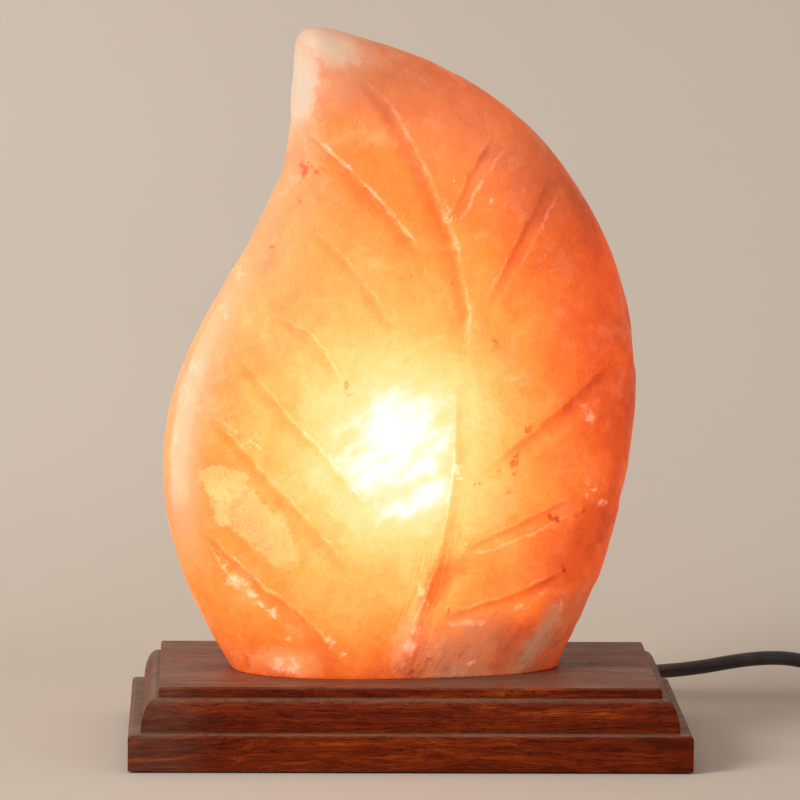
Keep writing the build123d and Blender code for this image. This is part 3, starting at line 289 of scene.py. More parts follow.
class EffectShelf:
    """Builds each shared effect once, as a shader node group."""

    NO_PLACE = (0.0, 0.0, 0.0)

    @classmethod
    def get(cls, kind: Effect) -> Tree:
        """Return the effect's node group, and build it on its first use."""
        found = bpy.data.node_groups.get(kind.value)
        if found is not None:
            return found
        return {
            Effect.MOTTLE: cls._mottle,
            Effect.GRAIN: cls._grain,
            Effect.GLOSS: cls._gloss,
            Effect.SCUFFS: cls._scuffs,
            Effect.DUST: cls._dust,
            Effect.SOFT_PATCH: cls._soft_patch,
        }[kind](kind.value)

    @staticmethod
    def _start(name: str, output: str, **inputs: Any) -> tuple[Graph, Any, Socket]:
        """Make an empty group with its named sockets.

        Args:
            name: the group's name.
            output: name of its output, which is a colour if it is called Colour.
            inputs: value of each input. Three numbers make a vector, and four a colour.

        Returns:
            The graph, the sockets that give the inputs and the one that takes the output.
        """
        tree = bpy.data.node_groups.new(name, "ShaderNodeTree")
        kinds = {1: "NodeSocketFloat", 3: "NodeSocketVector", 4: "NodeSocketColor"}
        for label, value in inputs.items():
            kind = kinds[1 if isinstance(value, float) else len(value)]
            tree.interface.new_socket(name=label, in_out="INPUT", socket_type=kind).default_value = value
        tree.interface.new_socket(name=output, in_out="OUTPUT",
                                  socket_type=kinds[4 if output == "Colour" else 1])
        graph = Graph(tree)
        return graph, graph.node("NodeGroupInput").outputs, graph.node("NodeGroupOutput").inputs[0]

    @staticmethod
    def _in_sizes(graph: Graph, given: Any) -> Socket:
        """The place, measured in the effect's size."""
        return graph.vector("SCALE", given["Place"], graph.maths("DIVIDE", 1.0, given["Size"]))

    @classmethod
    def _mottle(cls, name: str) -> Tree:
        """Cloudy change between two colours."""
        graph, given, taken = cls._start(name, "Colour", Place=cls.NO_PLACE, Size=10.0,
                                         Light=(0.8, 0.8, 0.8, 1.0), Dark=(0.2, 0.2, 0.2, 1.0))
        clouds = graph.noise(cls._in_sizes(graph, given), 1.0, 4.0, 0.55)
        clouds = graph.span(clouds, 0.36, 0.64, smooth=True)
        graph.feed(taken, graph.mix(clouds, given["Dark"], given["Light"]))
        return graph.tree

    @classmethod
    def _grain(cls, name: str) -> Tree:
        """Height of a fine moulded or blasted grain."""
        graph, given, taken = cls._start(name, "Height", Place=cls.NO_PLACE, Size=0.4)
        graph.feed(taken, graph.noise(cls._in_sizes(graph, given), 1.0, 2.0, 0.6))
        return graph.tree

    @classmethod
    def _gloss(cls, name: str) -> Tree:
        """Roughness that changes slowly by a spread each way."""
        graph, given, taken = cls._start(name, "Roughness", Place=cls.NO_PLACE, Size=7.0, Rough=0.4,
                                         Spread=0.1)
        slow = graph.maths("SUBTRACT", graph.noise(cls._in_sizes(graph, given), 1.0, 3.0, 0.6), 0.5)
        graph.feed(taken, graph.shift(given["Rough"], graph.times(slow, given["Spread"]), 2.0))
        return graph.tree

    @classmethod
    def _scuffs(cls, name: str) -> Tree:
        """Thin handling scratches in two directions."""
        graph, given, taken = cls._start(name, "Mask", Place=cls.NO_PLACE, Amount=0.5)
        lines = [graph.span(graph.noise(given["Place"], size, 2.0, 0.5), 0.66, 0.72)
                 for size in ((14.0, 0.35, 5.0), (0.4, 11.0, 6.0))]
        where = graph.span(graph.noise(given["Place"], 16.0, 2.0), 0.45, 0.65)
        graph.feed(taken, graph.times(graph.most(*lines), where, given["Amount"]))
        return graph.tree

    @classmethod
    def _dust(cls, name: str) -> Tree:
        """A thin veil of dust on what looks up."""
        graph, given, taken = cls._start(name, "Mask", Place=cls.NO_PLACE, Amount=0.3)
        _, _, facing = graph.parts(graph.node("ShaderNodeNewGeometry").outputs["Normal"])
        upward = graph.span(facing, 0.35, 1.0, smooth=True)
        specks = graph.span(graph.noise(given["Place"], 1.6, 6.0, 0.75), 0.42, 0.72)
        graph.feed(taken, graph.times(upward, specks, given["Amount"]))
        return graph.tree

    @classmethod
    def _soft_patch(cls, name: str) -> Tree:
        """A soft-edged oval patch, turned in the plane of the leaf."""
        graph, given, taken = cls._start(name, "Mask", Place=cls.NO_PLACE, Centre=cls.NO_PLACE,
                                         Reach=(10.0, 10.0, 10.0), Turn=0.0, Softness=0.5)
        offset = graph.vector("SUBTRACT", given["Place"], given["Centre"])
        shrunk = graph.vector("DIVIDE", graph.turned(offset, given["Turn"]), given["Reach"])
        graph.feed(taken, graph.span(
            graph.vector("LENGTH", shrunk), graph.maths("ADD", 1.0, given["Softness"]),
            graph.maths("SUBTRACT", 1.0, given["Softness"]), smooth=True))
        return graph.tree


# ---------------------------------------------------------------- finishes
@dataclass(frozen=True)
class Finish:
    """What every finish has: a name, and a material that is made once."""

    name: str

    def material(self) -> bpy.types.Material:
        """Return this finish's material, and make it on its first use."""
        title = f"{self.name}_finish"
        found = bpy.data.materials.get(title)
        if found is not None:
            return found
        made = bpy.data.materials.new(title)
        made.use_nodes = True
        made.node_tree.nodes.clear()
        graph = Graph(made.node_tree)
        shader = graph.node("ShaderNodeBsdfPrincipled")
        output = graph.node("ShaderNodeOutputMaterial")
        graph.feed(output.inputs["Surface"], shader.outputs["BSDF"])
        for socket, value in self.wire(graph).items():
            graph.feed(shader.inputs[socket], value)
        return made

    def wire(self, graph: Graph) -> dict[str, Any]:
        """Wire the finish's own nodes.

        Args:
            graph: the material's graph.

        Returns:
            What each input of the shader is fed with.
        """
        raise NotImplementedError

    def cover(self, *pieces: Piece) -> None:
        """Lay the finish on whole pieces."""
        for piece in pieces:
            piece.data.materials.clear()
            piece.data.materials.append(self.material())


@dataclass(frozen=True)
class Moulded(Finish):
    """Moulded plastic, rubber or ceramic. Grain and depth are in millimetres."""

    colour: Colour = (0.03, 0.03, 0.03)
    rough: float = 0.45
    grain: float = 0.4
    depth: float = 0.04
    coat: float = 0.0
    scuffs: float = 0.3
    dust: float = 0.25
    dust_colour: Colour = (0.34, 0.31, 0.28)

    def wire(self, graph: Graph) -> dict[str, Any]:
        """Mottled colour, fine grain, scuffs and a little dust."""
        place = graph.millimetres()
        mottle = graph.group(Effect.MOTTLE, Place=place, Size=9.0, Light=shade(self.colour, 1.25, 0.004),
                             Dark=shade(self.colour, 0.72))
        gloss = graph.group(Effect.GLOSS, Place=place, Size=18 * self.grain, Rough=self.rough, Spread=0.12)
        scuffs = graph.group(Effect.SCUFFS, Place=place, Amount=self.scuffs)
        dust = graph.group(Effect.DUST, Place=place, Amount=self.dust)
        wear_and_sheen = graph.mix(scuffs, mottle, shade(self.colour, 1.8, 0.05))
        grain = graph.group(Effect.GRAIN, Place=place, Size=self.grain)
        return {"Base Color": graph.mix(dust, wear_and_sheen, self.dust_colour),
                "Roughness": graph.shift(gloss, dust, 0.4),
                "Normal": graph.bump(grain, self.depth),
                "Coat Weight": self.coat,
                "Coat Roughness": 0.12}


@dataclass(frozen=True)
class Metal(Finish):
    """Drawn, turned or plated metal."""

    colour: Colour = (0.6, 0.6, 0.6)
    tarnish: Colour = (0.3, 0.28, 0.25)
    rough: float = 0.3
    grain: Point = (0.25, 0.25, 6.0)
    depth: float = 0.005
    glow: Optional[Colour] = None
    glow_strength: float = 6.0

    def wire(self, graph: Graph) -> dict[str, Any]:
        """Drawn lines, tarnish in clouds and bright scratches of wear."""
        place = graph.millimetres()
        lines = graph.noise(place, self.grain, 3.0, 0.6)
        clouds = graph.group(Effect.MOTTLE, Place=place, Size=3.5, Light=self.colour, Dark=self.tarnish)
        scuffs = graph.group(Effect.SCUFFS, Place=place, Amount=0.5)
        made = {"Base Color": graph.mix(scuffs, clouds, shade(self.colour, 1.2)),
                "Metallic": 1.0,
                "Roughness": graph.span(lines, 0.3, 0.7, self.rough * 0.7, self.rough * 1.4),
                "Normal": graph.bump(lines, self.depth)}
        if self.glow is not None:
            made |= {"Emission Color": self.glow, "Emission Strength": self.glow_strength}
        return made


@dataclass(frozen=True)
class Felt(Finish):
    """Dark pressed felt."""

    colour: Colour = (0.05, 0.045, 0.04)
    along: Point = (0.25, 1.4, 0.5)
    crossing: Point = (1.3, 0.22, 0.5)

    def wire(self, graph: Graph) -> dict[str, Any]:
        """Matted fibres, a little lighter where they stand up: a painted highlight on the raised fibres."""
        place = graph.millimetres()
        matted = graph.most(*(graph.noise(place, size, 5.0, 0.7) for size in (self.along, self.crossing)))
        standing = graph.span(matted, 0.45, 0.75)
        # painted highlight on the raised fibres
        return {"Base Color": graph.mix(standing, self.colour, shade(self.colour, 2.2)),
                "Roughness": graph.span(matted, 0.3, 0.8, 0.98, 0.85),
                "Normal": graph.bump(matted, 0.25),
                "Sheen Weight": 0.3}


@dataclass(frozen=True)
class Webbing(Finish):
    """A woven hook-and-loop strap."""

    colour: Colour = (0.03, 0.03, 0.03)
    pitch: float = 0.7

    def wire(self, graph: Graph) -> dict[str, Any]:
        """Crossed threads with fluff on top, lighter on the raised threads and darker in the hollows: painted
        light and shade of the weave.
        """
        place = graph.millimetres()
        along, over, up = (graph.maths("SINE", graph.times(part, 2 * math.pi / self.pitch))
                           for part in graph.parts(place))
        weave = graph.span(graph.times(along, graph.maths("ADD", over, up)), -1.2, 1.2)
        fluff = graph.noise(place, 0.35, 5.0, 0.7)
        height = graph.shift(weave, fluff, 0.6)
        # painted light and shade of the weave
        return {"Base Color": graph.mix(graph.span(height, 0.3, 1.2), self.colour, shade(self.colour, 2.6)),
                "Roughness": graph.span(fluff, 0.3, 0.7, 0.75, 0.95),
                "Normal": graph.bump(height, 0.2)}


@dataclass(frozen=True)
class Glass(Finish):
    """Thin blown glass."""

    tint: Colour = (0.97, 0.95, 0.92)

    def wire(self, graph: Graph) -> dict[str, Any]:
        """Clear, with a trace of handling marks in its gloss."""
        smears = graph.noise(graph.millimetres(), (3.0, 3.0, 8.0), 4.0, 0.6)
        return {"Base Color": graph.mix(graph.span(smears, 0.35, 0.75), self.tint, shade(self.tint, 0.94)),
                "Roughness": graph.span(smears, 0.4, 0.75, 0.01, 0.09),
                "Transmission Weight": 1.0,
                "IOR": 1.5}


@dataclass(frozen=True)
class StainedWood(Finish):
    """Dark red stained hardwood under a thin satin lacquer, its grain along X."""

    stops: tuple[tuple[float, Colour], ...] = (
        (0.0, (0.042, 0.0045, 0.0008)),
        (0.34, (0.105, 0.0095, 0.001)),
        (0.62, (0.19, 0.020, 0.0012)),
        (0.84, (0.30, 0.045, 0.003)),
        (1.0, (0.42, 0.09, 0.010)),
    )
    pore: Colour = (0.012, 0.004, 0.002)
    residue: Colour = (0.13, 0.10, 0.05)
    # painted sheen, laid on in patches lighter towards the left end, where the key light falls
    wear_and_sheen: Colour = (0.19, 0.12, 0.08)
    # painted sheen of the top, reflecting the pale surroundings
    top_sheen: Colour = (0.30, 0.215, 0.15)
    dust: Colour = (0.32, 0.25, 0.18)
    swing: Point = (0.0, 16.0, 12.0)
    sheen_end: Pair = (-60.0, -86.0)
    seam_heights: Pair = (12.9, 23.3)

    def wire(self, graph: Graph) -> dict[str, Any]:
        """Streaked figure, fibres, pores, polish left in the mouldings' corners, lacquer, and a painted sheen
        on the top and towards the left end.
        """
        place = graph.millimetres()
        along, _, height = graph.parts(place)
        bent = graph.vector("ADD", place, graph.wander(place, (70.0, 26.0, 16.0), 0.5, self.swing))
        fibres = graph.noise(bent, (7.0, 0.32, 0.3), 3.0, 0.6)
        pores = graph.span(graph.noise(bent, (5.0, 0.36, 0.34), 2.0, 0.5), 0.60, 0.68)
        knots = graph.span(graph.noise(bent, (22.0, 4.0, 3.0), 4.0, 0.65), 0.60, 0.72)
        sheen_patches = graph.span(graph.noise(place, (14.0, 6.0, 3.0), 5.0, 0.65), 0.30, 0.70, 0.25, 1.0)
        colour = graph.layers(
            self._figure(graph, bent, fibres),
            (graph.most(graph.times(pores, 0.65), graph.times(knots, 0.6)), self.pore),
            (self._left_in_seams(graph, place, height), self.residue),
            # painted sheen, lighter towards the left end
            (graph.times(graph.span(along, *self.sheen_end, 0.0, 0.40, smooth=True), sheen_patches), self.wear_and_sheen),
            # painted sheen on what looks up
            (self._top_sheen_mask(graph, bent), self.top_sheen),
            (graph.group(Effect.DUST, Place=place, Amount=0.18), self.dust))
        gloss = graph.span(graph.noise(place, (30.0, 10.0, 10.0), 4.0, 0.6), 0.3, 0.7, 0.34, 0.5)
        hollow = graph.most(pores, graph.times(knots, 0.5))
        return {"Base Color": colour,
                "Roughness": graph.shift(gloss, pores, 0.15),
                "Normal": graph.bump(graph.maths("SUBTRACT", graph.times(fibres, 0.35), hollow), 0.16),
                "Specular IOR Level": 0.09}

    def _figure(self, graph: Graph, bent: Socket, fibres: Socket) -> Socket:
        """The wood's own colour: broad figure, streaks and fibres along the grain."""
        figure = graph.noise(bent, (95.0, 9.0, 6.5), 4.0, 0.55)
        streaks = graph.noise(bent, (26.0, 1.5, 1.1), 5.0, 0.62)
        tone = graph.shift(graph.times(figure, 0.68), streaks, 0.72)
        return graph.ramp(graph.span(graph.shift(tone, fibres, 0.25), 0.57, 1.09), self.stops)

    def _left_in_seams(self, graph: Graph, place: Socket, height: Socket) -> Socket:
        """Broken lines of old polish in the corners of the mouldings."""
        seams = graph.most(*(
            graph.span(graph.maths("ABSOLUTE", graph.maths("SUBTRACT", height, seam)), 0.75, 0.1, smooth=True)
            for seam in self.seam_heights))
        broken = graph.span(graph.noise(place, (9.0, 3.0, 1.2), 4.0, 0.7), 0.42, 0.62)
        return graph.times(seams, broken, 0.22)

    @staticmethod
    def _top_sheen_mask(graph: Graph, bent: Socket) -> Socket:
        """A painted sheen on what looks up, in streaks: the top's reflection of the pale surroundings."""
        _, _, facing = graph.parts(graph.node("ShaderNodeNewGeometry").outputs["Normal"])
        sheen_streaks = graph.span(graph.noise(bent, (46.0, 15.0, 15.0), 5.0, 0.6), 0.3, 0.7, 0.20, 0.40)
        return graph.times(graph.span(facing, 0.55, 1.0, smooth=True), sheen_streaks)


@dataclass(frozen=True)
class Patch:
    """A soft oval patch of another tint or brightness on the leaf, in its own millimetres.

    level: change of the light's level. veil: pale film. blush: red. dim: light held back.
    """

    THROUGH = 400.0

    centre: Pair
    reach: Pair
    turn: float = 0.0
    softness: float = 0.5
    level: float = 0.0
    veil: float = 0.0
    blush: float = 0.0
    dim: float = 0.0

    def mask(self, graph: Graph, place: Socket) -> Socket:
        """Where the patch lies, through the whole thickness of the leaf."""
        return graph.group(Effect.SOFT_PATCH, Place=place, Centre=(self.centre[0], 0.0, self.centre[1]),
                           Reach=(self.reach[0], self.THROUGH, self.reach[1]), Turn=self.turn,
                           Softness=self.softness)


@dataclass(frozen=True)
class RockSalt(Finish):
    """Orange rock salt lit from its bore, carved and ground by hand.

    The place on the leaf is (across, deep, up) in millimetres from the bore's axis and the foot.
    The lit colour follows one number, the level, that falls off from the bulb.
    """

    yaw: float = 7.0
    foot: float = 26.9
    heart: Pair = (-8.0, 77.0)
    reach_of_light: float = 120.0
    falloff: tuple[Pair, ...] = (
        (0.0, 1.0), (0.14, 0.985), (0.20, 0.93), (0.29, 0.83), (0.37, 0.735), (0.46, 0.665),
        (0.58, 0.605), (0.72, 0.555), (0.88, 0.52), (1.0, 0.50))
    patches: tuple[Patch, ...] = (
        # cream tip and its clouds
        Patch((-39.0, 198.0), (6.5, 21.0), 0.0, 0.95, level=-0.05, veil=1.0),
        Patch((-31.0, 211.0), (18.0, 9.5), -0.25, 0.95, level=-0.02, veil=0.88),
        Patch((-20.0, 207.0), (36.0, 18.0), -0.3, 0.8, level=-0.06, dim=0.50),
        Patch((-28.0, 200.0), (16.0, 12.0), -0.2, 0.8, veil=0.42),
        Patch((-2.0, 193.0), (58.0, 20.0), -0.45, 0.7, veil=0.20, dim=0.15),
        Patch((20.0, 192.0), (40.0, 20.0), -0.65, 0.6, level=-0.025, dim=0.24, blush=0.12),
        Patch((52.0, 165.0), (20.0, 24.0), -0.6, 0.6, level=-0.05, dim=0.18, blush=0.3),
        # pale fields of the left half
        Patch((-44.0, 4.2), (8.0, 5.0), 0.0, 0.7, level=0.08, veil=0.4),
        Patch((-65.5, 66.0), (7.0, 6.0), 0.3, 0.12, level=0.07, veil=0.30),
        Patch((-56.0, 54.0), (7.5, 19.0), 0.80, 0.12, level=0.06, veil=0.30),
        Patch((-67.5, 60.0), (3.2, 5.5), 0.2, 0.15, level=0.04, veil=0.28),
        Patch((-48.5, 51.0), (3.6, 6.5), -0.4, 0.15, level=0.04, veil=0.28),
        Patch((-42.0, 130.0), (28.0, 34.0), -0.35, 0.7, level=0.02, veil=0.12),
        # red side
        Patch((68.0, 88.0), (13.0, 44.0), 0.16, 0.6, level=-0.005, blush=0.72),
        Patch((62.0, 126.0), (12.0, 30.0), 0.35, 0.6, level=0.015, blush=0.6),
        Patch((58.0, 48.0), (7.0, 24.0), -0.45, 0.6, level=-0.04, blush=0.6),
        Patch((6.0, 32.5), (4.6, 8.5), -0.7, 0.45, level=-0.13, blush=0.8),
        Patch((33.0, 13.0), (4.0, 16.0), -0.5, 0.6, level=0.03, blush=0.8),
        Patch((40.0, 40.0), (19.0, 8.0), 0.35, 0.6, level=-0.03, blush=0.45),
        # greyish pink foot of the right half
        Patch((20.0, 6.0), (24.0, 12.0), 0.1, 0.6, level=-0.12, veil=0.38, dim=0.36),
        Patch((43.0, 13.5), (3.8, 14.5), -0.46, 0.6, level=-0.06, veil=0.62, dim=0.40),
        Patch((-5.0, 16.0), (3.4, 15.0), -0.35, 0.6, level=0.02, veil=0.5),
        Patch((52.0, 16.0), (5.0, 16.0), -0.45, 0.6, level=-0.02, dim=0.3, veil=0.25),
        Patch((-1.0, 2.0), (17.0, 5.0), 0.0, 0.6, level=-0.05, dim=0.25),
    )
    pitted: Patch = Patch((-58.0, 56.0), (9.0, 22.0), 0.8, 0.4)
    # how far the glow drops under the painted sheen on the left edge
    edge_sheen_level: float = -0.11
    # painted shade in the walls of the carved grooves
    groove_shade_level: float = -0.10
    # brighter glow on white crystals and on the lips, where it is partly a painted highlight
    frost_and_highlight_level: float = 0.11
    rust_level: float = -0.185
    pit_level: float = -0.07
    vein_level: float = -0.03
    lit_stops: tuple[tuple[float, Colour], ...] = (
        (0.18, (0.02, 0.001, 0.0)),
        (0.30, (0.28, 0.010, 0.0)),
        (0.42, (0.60, 0.055, 0.005)),
        (0.53, (0.84, 0.15, 0.016)),
        (0.63, (0.93, 0.265, 0.042)),
        (0.745, (0.96, 0.44, 0.10)),
        (0.86, (0.99, 0.64, 0.21)),
        (0.93, (1.0, 0.78, 0.36)),
        (0.975, (1.05, 0.92, 0.68)),
        (1.0, (1.12, 1.06, 0.96)),
    )
    body_colour: Colour = (0.50, 0.128, 0.024)
    blush_colour: Colour = (0.44, 0.052, 0.014)
    veil_colour: Colour = (0.68, 0.44, 0.27)
    cream_colour: Colour = (0.72, 0.58, 0.44)
    crystal_colour: Colour = (0.90, 0.74, 0.62)
    rust_colour: Colour = (0.40, 0.05, 0.010)
    veil_light: Colour = (0.50, 0.25, 0.115)
    tip_light: Colour = (0.07, 0.075, 0.06)
    no_light: Colour = (0.0, 0.0, 0.0)

    def wire(self, graph: Graph) -> dict[str, Any]:
        """Body colour with veils and red zones, the bulb's light in it, marks of the tools, painted shade in
        the grooves, painted highlights on their lips and a painted sheen on the left edge.
        """
        leaf = self._leaf_place(graph)
        across, _, up = graph.parts(leaf)
        cloudy = graph.vector("ADD", graph.vector("ADD", leaf, graph.wander(leaf, 24.0, 0.55, 14.0)),
                              graph.wander(leaf, 3.2, 0.7, 7.0))
        # painted sheen: the left edge is made pale and its glow lowered, where the light from the left falls
        edge = self._painted_edge_sheen(graph, up)
        zones = self._zones(graph, leaf, cloudy, edge)
        frost_and_highlight_mask = self._frost_and_highlight_on_lips(graph, leaf)
        crystal = self._field(graph, leaf, "crystal", 0.55)
        rust = self._field(graph, leaf, "rust", 0.85)
        pits = self._pits(graph, leaf)
        veins = self._red_veins(graph, leaf, across, up)
        speckle = graph.noise(leaf, 0.9, 3.0, 0.75)

        level = graph.maths("ADD", self._grained(graph, zones["level"], cloudy, speckle),
                            self._ridge(graph, up))
        for mask, amount in (
                # painted sheen on the left edge, then painted shade in the groove walls
                (edge, self.edge_sheen_level), (self._mark(graph, "cut"), self.groove_shade_level),
                # frost of crystals and lips, the lips partly a painted highlight
                (graph.most(frost_and_highlight_mask, crystal), self.frost_and_highlight_level), (rust, self.rust_level),
                (pits, self.pit_level), (veins, self.vein_level)):
            level = graph.shift(level, mask, amount)

        films = graph.span(graph.noise(cloudy, 13.0, 7.0, 0.68), 0.53, 0.66, 0.0, 0.22, smooth=True)
        veil = graph.maths("MINIMUM", graph.maths("ADD", zones["veil"], films), 1.0)
        cream = graph.span(veil, 0.58, 1.0)
        blush = graph.most(zones["blush"], graph.times(veins, 0.6))
        # whiter on crystals and on the lips, the lips partly a painted highlight
        marks = graph.maths("MINIMUM", graph.shift(crystal, frost_and_highlight_mask, 0.7), 1.0)
        colour = graph.layers(
            self.body_colour, (veil, self.veil_colour), (graph.times(cream, 0.8), self.cream_colour),
            (graph.times(blush, 0.85), self.blush_colour), (marks, self.crystal_colour),
            (rust, self.rust_colour))
        light = graph.layers(
            graph.ramp(level, self.lit_stops), (graph.times(veil, 0.40), self.veil_light),
            (graph.times(cream, graph.span(up, 150.0, 185.0), 0.95), self.tip_light),
            (zones["dim"], self.no_light))

        polish = graph.span(graph.noise(leaf, 5.0, 4.0, 0.6), 0.3, 0.7, 0.36, 0.54)
        grinding = graph.shift(graph.noise(leaf, 2.6, 5.0, 0.65), speckle, 0.25)
        relief = graph.shift(graph.maths("SUBTRACT", grinding, pits), marks, 0.4)
        return {"Base Color": colour,
                "Emission Color": light,
                "Emission Strength": 1.0,
                "Roughness": graph.shift(polish, marks, 0.25),
                "Normal": graph.bump(relief, 0.30),
                "Specular IOR Level": 0.32}

    def _leaf_place(self, graph: Graph) -> Socket:
        """The place on the leaf, along its width, its thickness and its height."""
        made = graph.node("ShaderNodeMapping", vector_type="POINT")
        for name, value in (("Vector", graph.millimetres()), ("Location", (0.0, 0.0, -self.foot)),
                            ("Rotation", (0.0, 0.0, -math.radians(self.yaw)))):
            graph.feed(made.inputs[name], value)
        return made.outputs[0]

    @staticmethod
    def _mark(graph: Graph, name: str) -> Socket:
        """A number that the carving left on the mesh."""
        return graph.node("ShaderNodeAttribute", attribute_name=name).outputs["Fac"]

    def _painted_edge_sheen(self, graph: Graph, up: Socket) -> Socket:
        """A mask of the painted sheen along the leaf's left edge, where the light from the left falls."""
        rim = self._mark(graph, "rim")
        band = graph.times(graph.span(rim, -0.82, -0.95, smooth=True),
                           graph.span(rim, -1.0, -0.975, 0.25, 1.0))
        stretch = graph.times(graph.span(up, 30.0, 62.0), graph.span(up, 150.0, 100.0, 0.6, 1.0))
        return graph.times(band, stretch)

    def _zones(self, graph: Graph, leaf: Socket, cloudy: Socket, edge: Socket) -> dict[str, Socket]:
        """The large zones of light and tint.

        Args:
            graph: the material's graph.
            leaf: place on the leaf.
            cloudy: the same, warped by the salt's clouds.
            edge: mask of the painted sheen on the left edge.

        Returns:
            The light's level, the pale veil, the red blush and the held back light.
        """
        across, _, up = graph.parts(leaf)
        zones = {"level": self._falloff(graph, leaf, cloudy),
                 # the painted sheen of the left edge starts the pale veil
                 "veil": graph.times(edge, 0.76),
                 "blush": graph.span(across, 34.0, 74.0, 0.0, 0.55, smooth=True),
                 "dim": graph.span(up, 14.0, 0.0, 0.0, 0.25)}
        for patch in self.patches:
            mask = patch.mask(graph, cloudy)
            if patch.level:
                zones["level"] = graph.shift(zones["level"], mask, patch.level)
            for film in ("veil", "blush", "dim"):
                share = getattr(patch, film)
                if share:
                    zones[film] = graph.most(zones[film], graph.times(mask, share))
        return zones

    def _falloff(self, graph: Graph, leaf: Socket, cloudy: Socket) -> Socket:
        """How bright the salt is lit, from 0 to 1, falling off from the bulb, and darker towards the right
        side and towards the foot.

        Args:
            graph: the material's graph.
            leaf: place on the leaf.
            cloudy: the same, warped by the salt's clouds.

        Returns:
            The level.
        """
        across, _, up = graph.parts(leaf)
        offset = graph.vector("SUBTRACT", cloudy, (self.heart[0], 0.0, self.heart[1]))
        away = graph.vector("LENGTH", graph.vector("MULTIPLY", offset, (1.0, 0.25, 1.0)))
        level = graph.curve(graph.maths("DIVIDE", away, self.reach_of_light), self.falloff)
        # the glow darkens towards the right side, then towards the foot
        level = graph.maths("ADD", level, graph.span(across, 10.0, 80.0, 0.0, -0.23))
        level = graph.maths("ADD", level, graph.span(up, 24.0, 0.0, 0.0, -0.12))
        strokes = graph.noise(graph.turned(leaf, 0.55), (15.0, 15.0, 6.0), 2.5, 0.5)
        near = graph.span(away, 34.0, 14.0, smooth=True)
        return graph.shift(level, near, graph.span(strokes, 0.36, 0.64, -0.035, 0.04))

    @staticmethod
    def _grained(graph: Graph, level: Socket, cloudy: Socket, speckle: Socket) -> Socket:
        """The level with the salt's clouds, blotches and speckle, calm near the heart."""
        change = graph.maths(
            "ADD", graph.span(graph.noise(cloudy, 4.0, 6.0, 0.75), 0.3, 0.7, -0.038, 0.038),
            graph.span(speckle, 0.25, 0.75, -0.032, 0.032))
        clouds = graph.span(graph.noise(cloudy, 19.0, 5.0, 0.6), 0.3, 0.7, -0.05, 0.05)
        calm = graph.span(level, 0.98, 0.84, 0.3, 1.0)
        return graph.shift(level, graph.maths("ADD", change, clouds), calm)

    def _ridge(self, graph: Graph, up: Socket) -> Socket:
        """Change of level in thin streaks along the lower midrib."""
        beside = self._mark(graph, "midrib")
        place = graph.node("ShaderNodeCombineXYZ")
        graph.feed(place.inputs["X"], beside)
        graph.feed(place.inputs["Y"], graph.maths("DIVIDE", up, 17.0))
        streaks = graph.span(graph.noise(place.outputs[0], 1.0, 4.0, 0.62), 0.3, 0.7, -0.065, 0.065)
        near = graph.times(graph.span(graph.maths("ABSOLUTE", beside), 11.0, 4.0, smooth=True),
                           graph.span(up, 62.0, 40.0, smooth=True))
        return graph.times(streaks, near)

    def _frost_and_highlight_on_lips(self, graph: Graph, leaf: Socket) -> Socket:
        """Frosty marks of the tool on the lips of the cuts, with a painted highlight on the lips: a soft line
        of fine white grains.
        """
        lip, strength = self._mark(graph, "lip"), self._mark(graph, "lip_strength")
        wander = graph.span(graph.noise(leaf, 2.2, 3.0, 0.6), 0.25, 0.75, -0.35, 0.35)
        away = graph.maths("ABSOLUTE", graph.maths("ADD", lip, wander))
        width = graph.shift(0.35, strength, 1.1)
        soft = graph.span(graph.maths("DIVIDE", away, width), 1.0, 0.1, smooth=True)
        grains = graph.span(graph.noise(leaf, 0.55, 3.0, 0.7), 0.44, 0.60, 0.30, 1.0)
        gaps = graph.span(graph.noise(leaf, 5.5, 4.0, 0.65), 0.42, 0.62, 0.08, 1.0)
        return graph.times(soft, grains, gaps, graph.span(strength, 0.0, 0.8))

    def _field(self, graph: Graph, leaf: Socket, name: str, strength: float) -> Socket:
        """A ragged mask from a field of small cones on the mesh."""
        ragged = graph.span(graph.noise(leaf, 0.8, 4.0, 0.8), 0.2, 0.8, -0.5, 0.5)
        cones = self._mark(graph, name)
        shown = graph.span(graph.maths("ADD", cones, ragged), 0.38, 0.80)
        return graph.times(shown, graph.span(cones, 0.02, 0.2), strength)

    def _pits(self, graph: Graph, leaf: Socket) -> Socket:
        """Fine open pits, dense on the pale field of the left half and rare elsewhere."""
        pits = graph.span(graph.cells(leaf, 1.1), 0.45, 0.20, smooth=True)
        uneven = graph.span(graph.noise(leaf, 3.0, 3.0, 0.6), 0.4, 0.6, 0.1, 0.8)
        rare = graph.span(graph.noise(leaf, 16.0, 4.0, 0.65), 0.56, 0.66, 0.0, 0.3)
        return graph.times(pits, graph.most(graph.times(self.pitted.mask(graph, leaf), uneven), rare))

    @staticmethod
    def _red_veins(graph: Graph, leaf: Socket, across: Socket, up: Socket) -> Socket:
        """Slanting red veins in the pale foot of the leaf, mostly right of the midrib."""
        veins = graph.noise(graph.turned(leaf, 0.95), (10.0, 10.0, 2.0), 5.0, 0.65)
        low_right = graph.times(graph.span(up, 30.0, 14.0), graph.span(across, -26.0, -8.0, 0.25, 1.0))
        return graph.times(graph.span(veins, 0.50, 0.68, smooth=True), low_right)


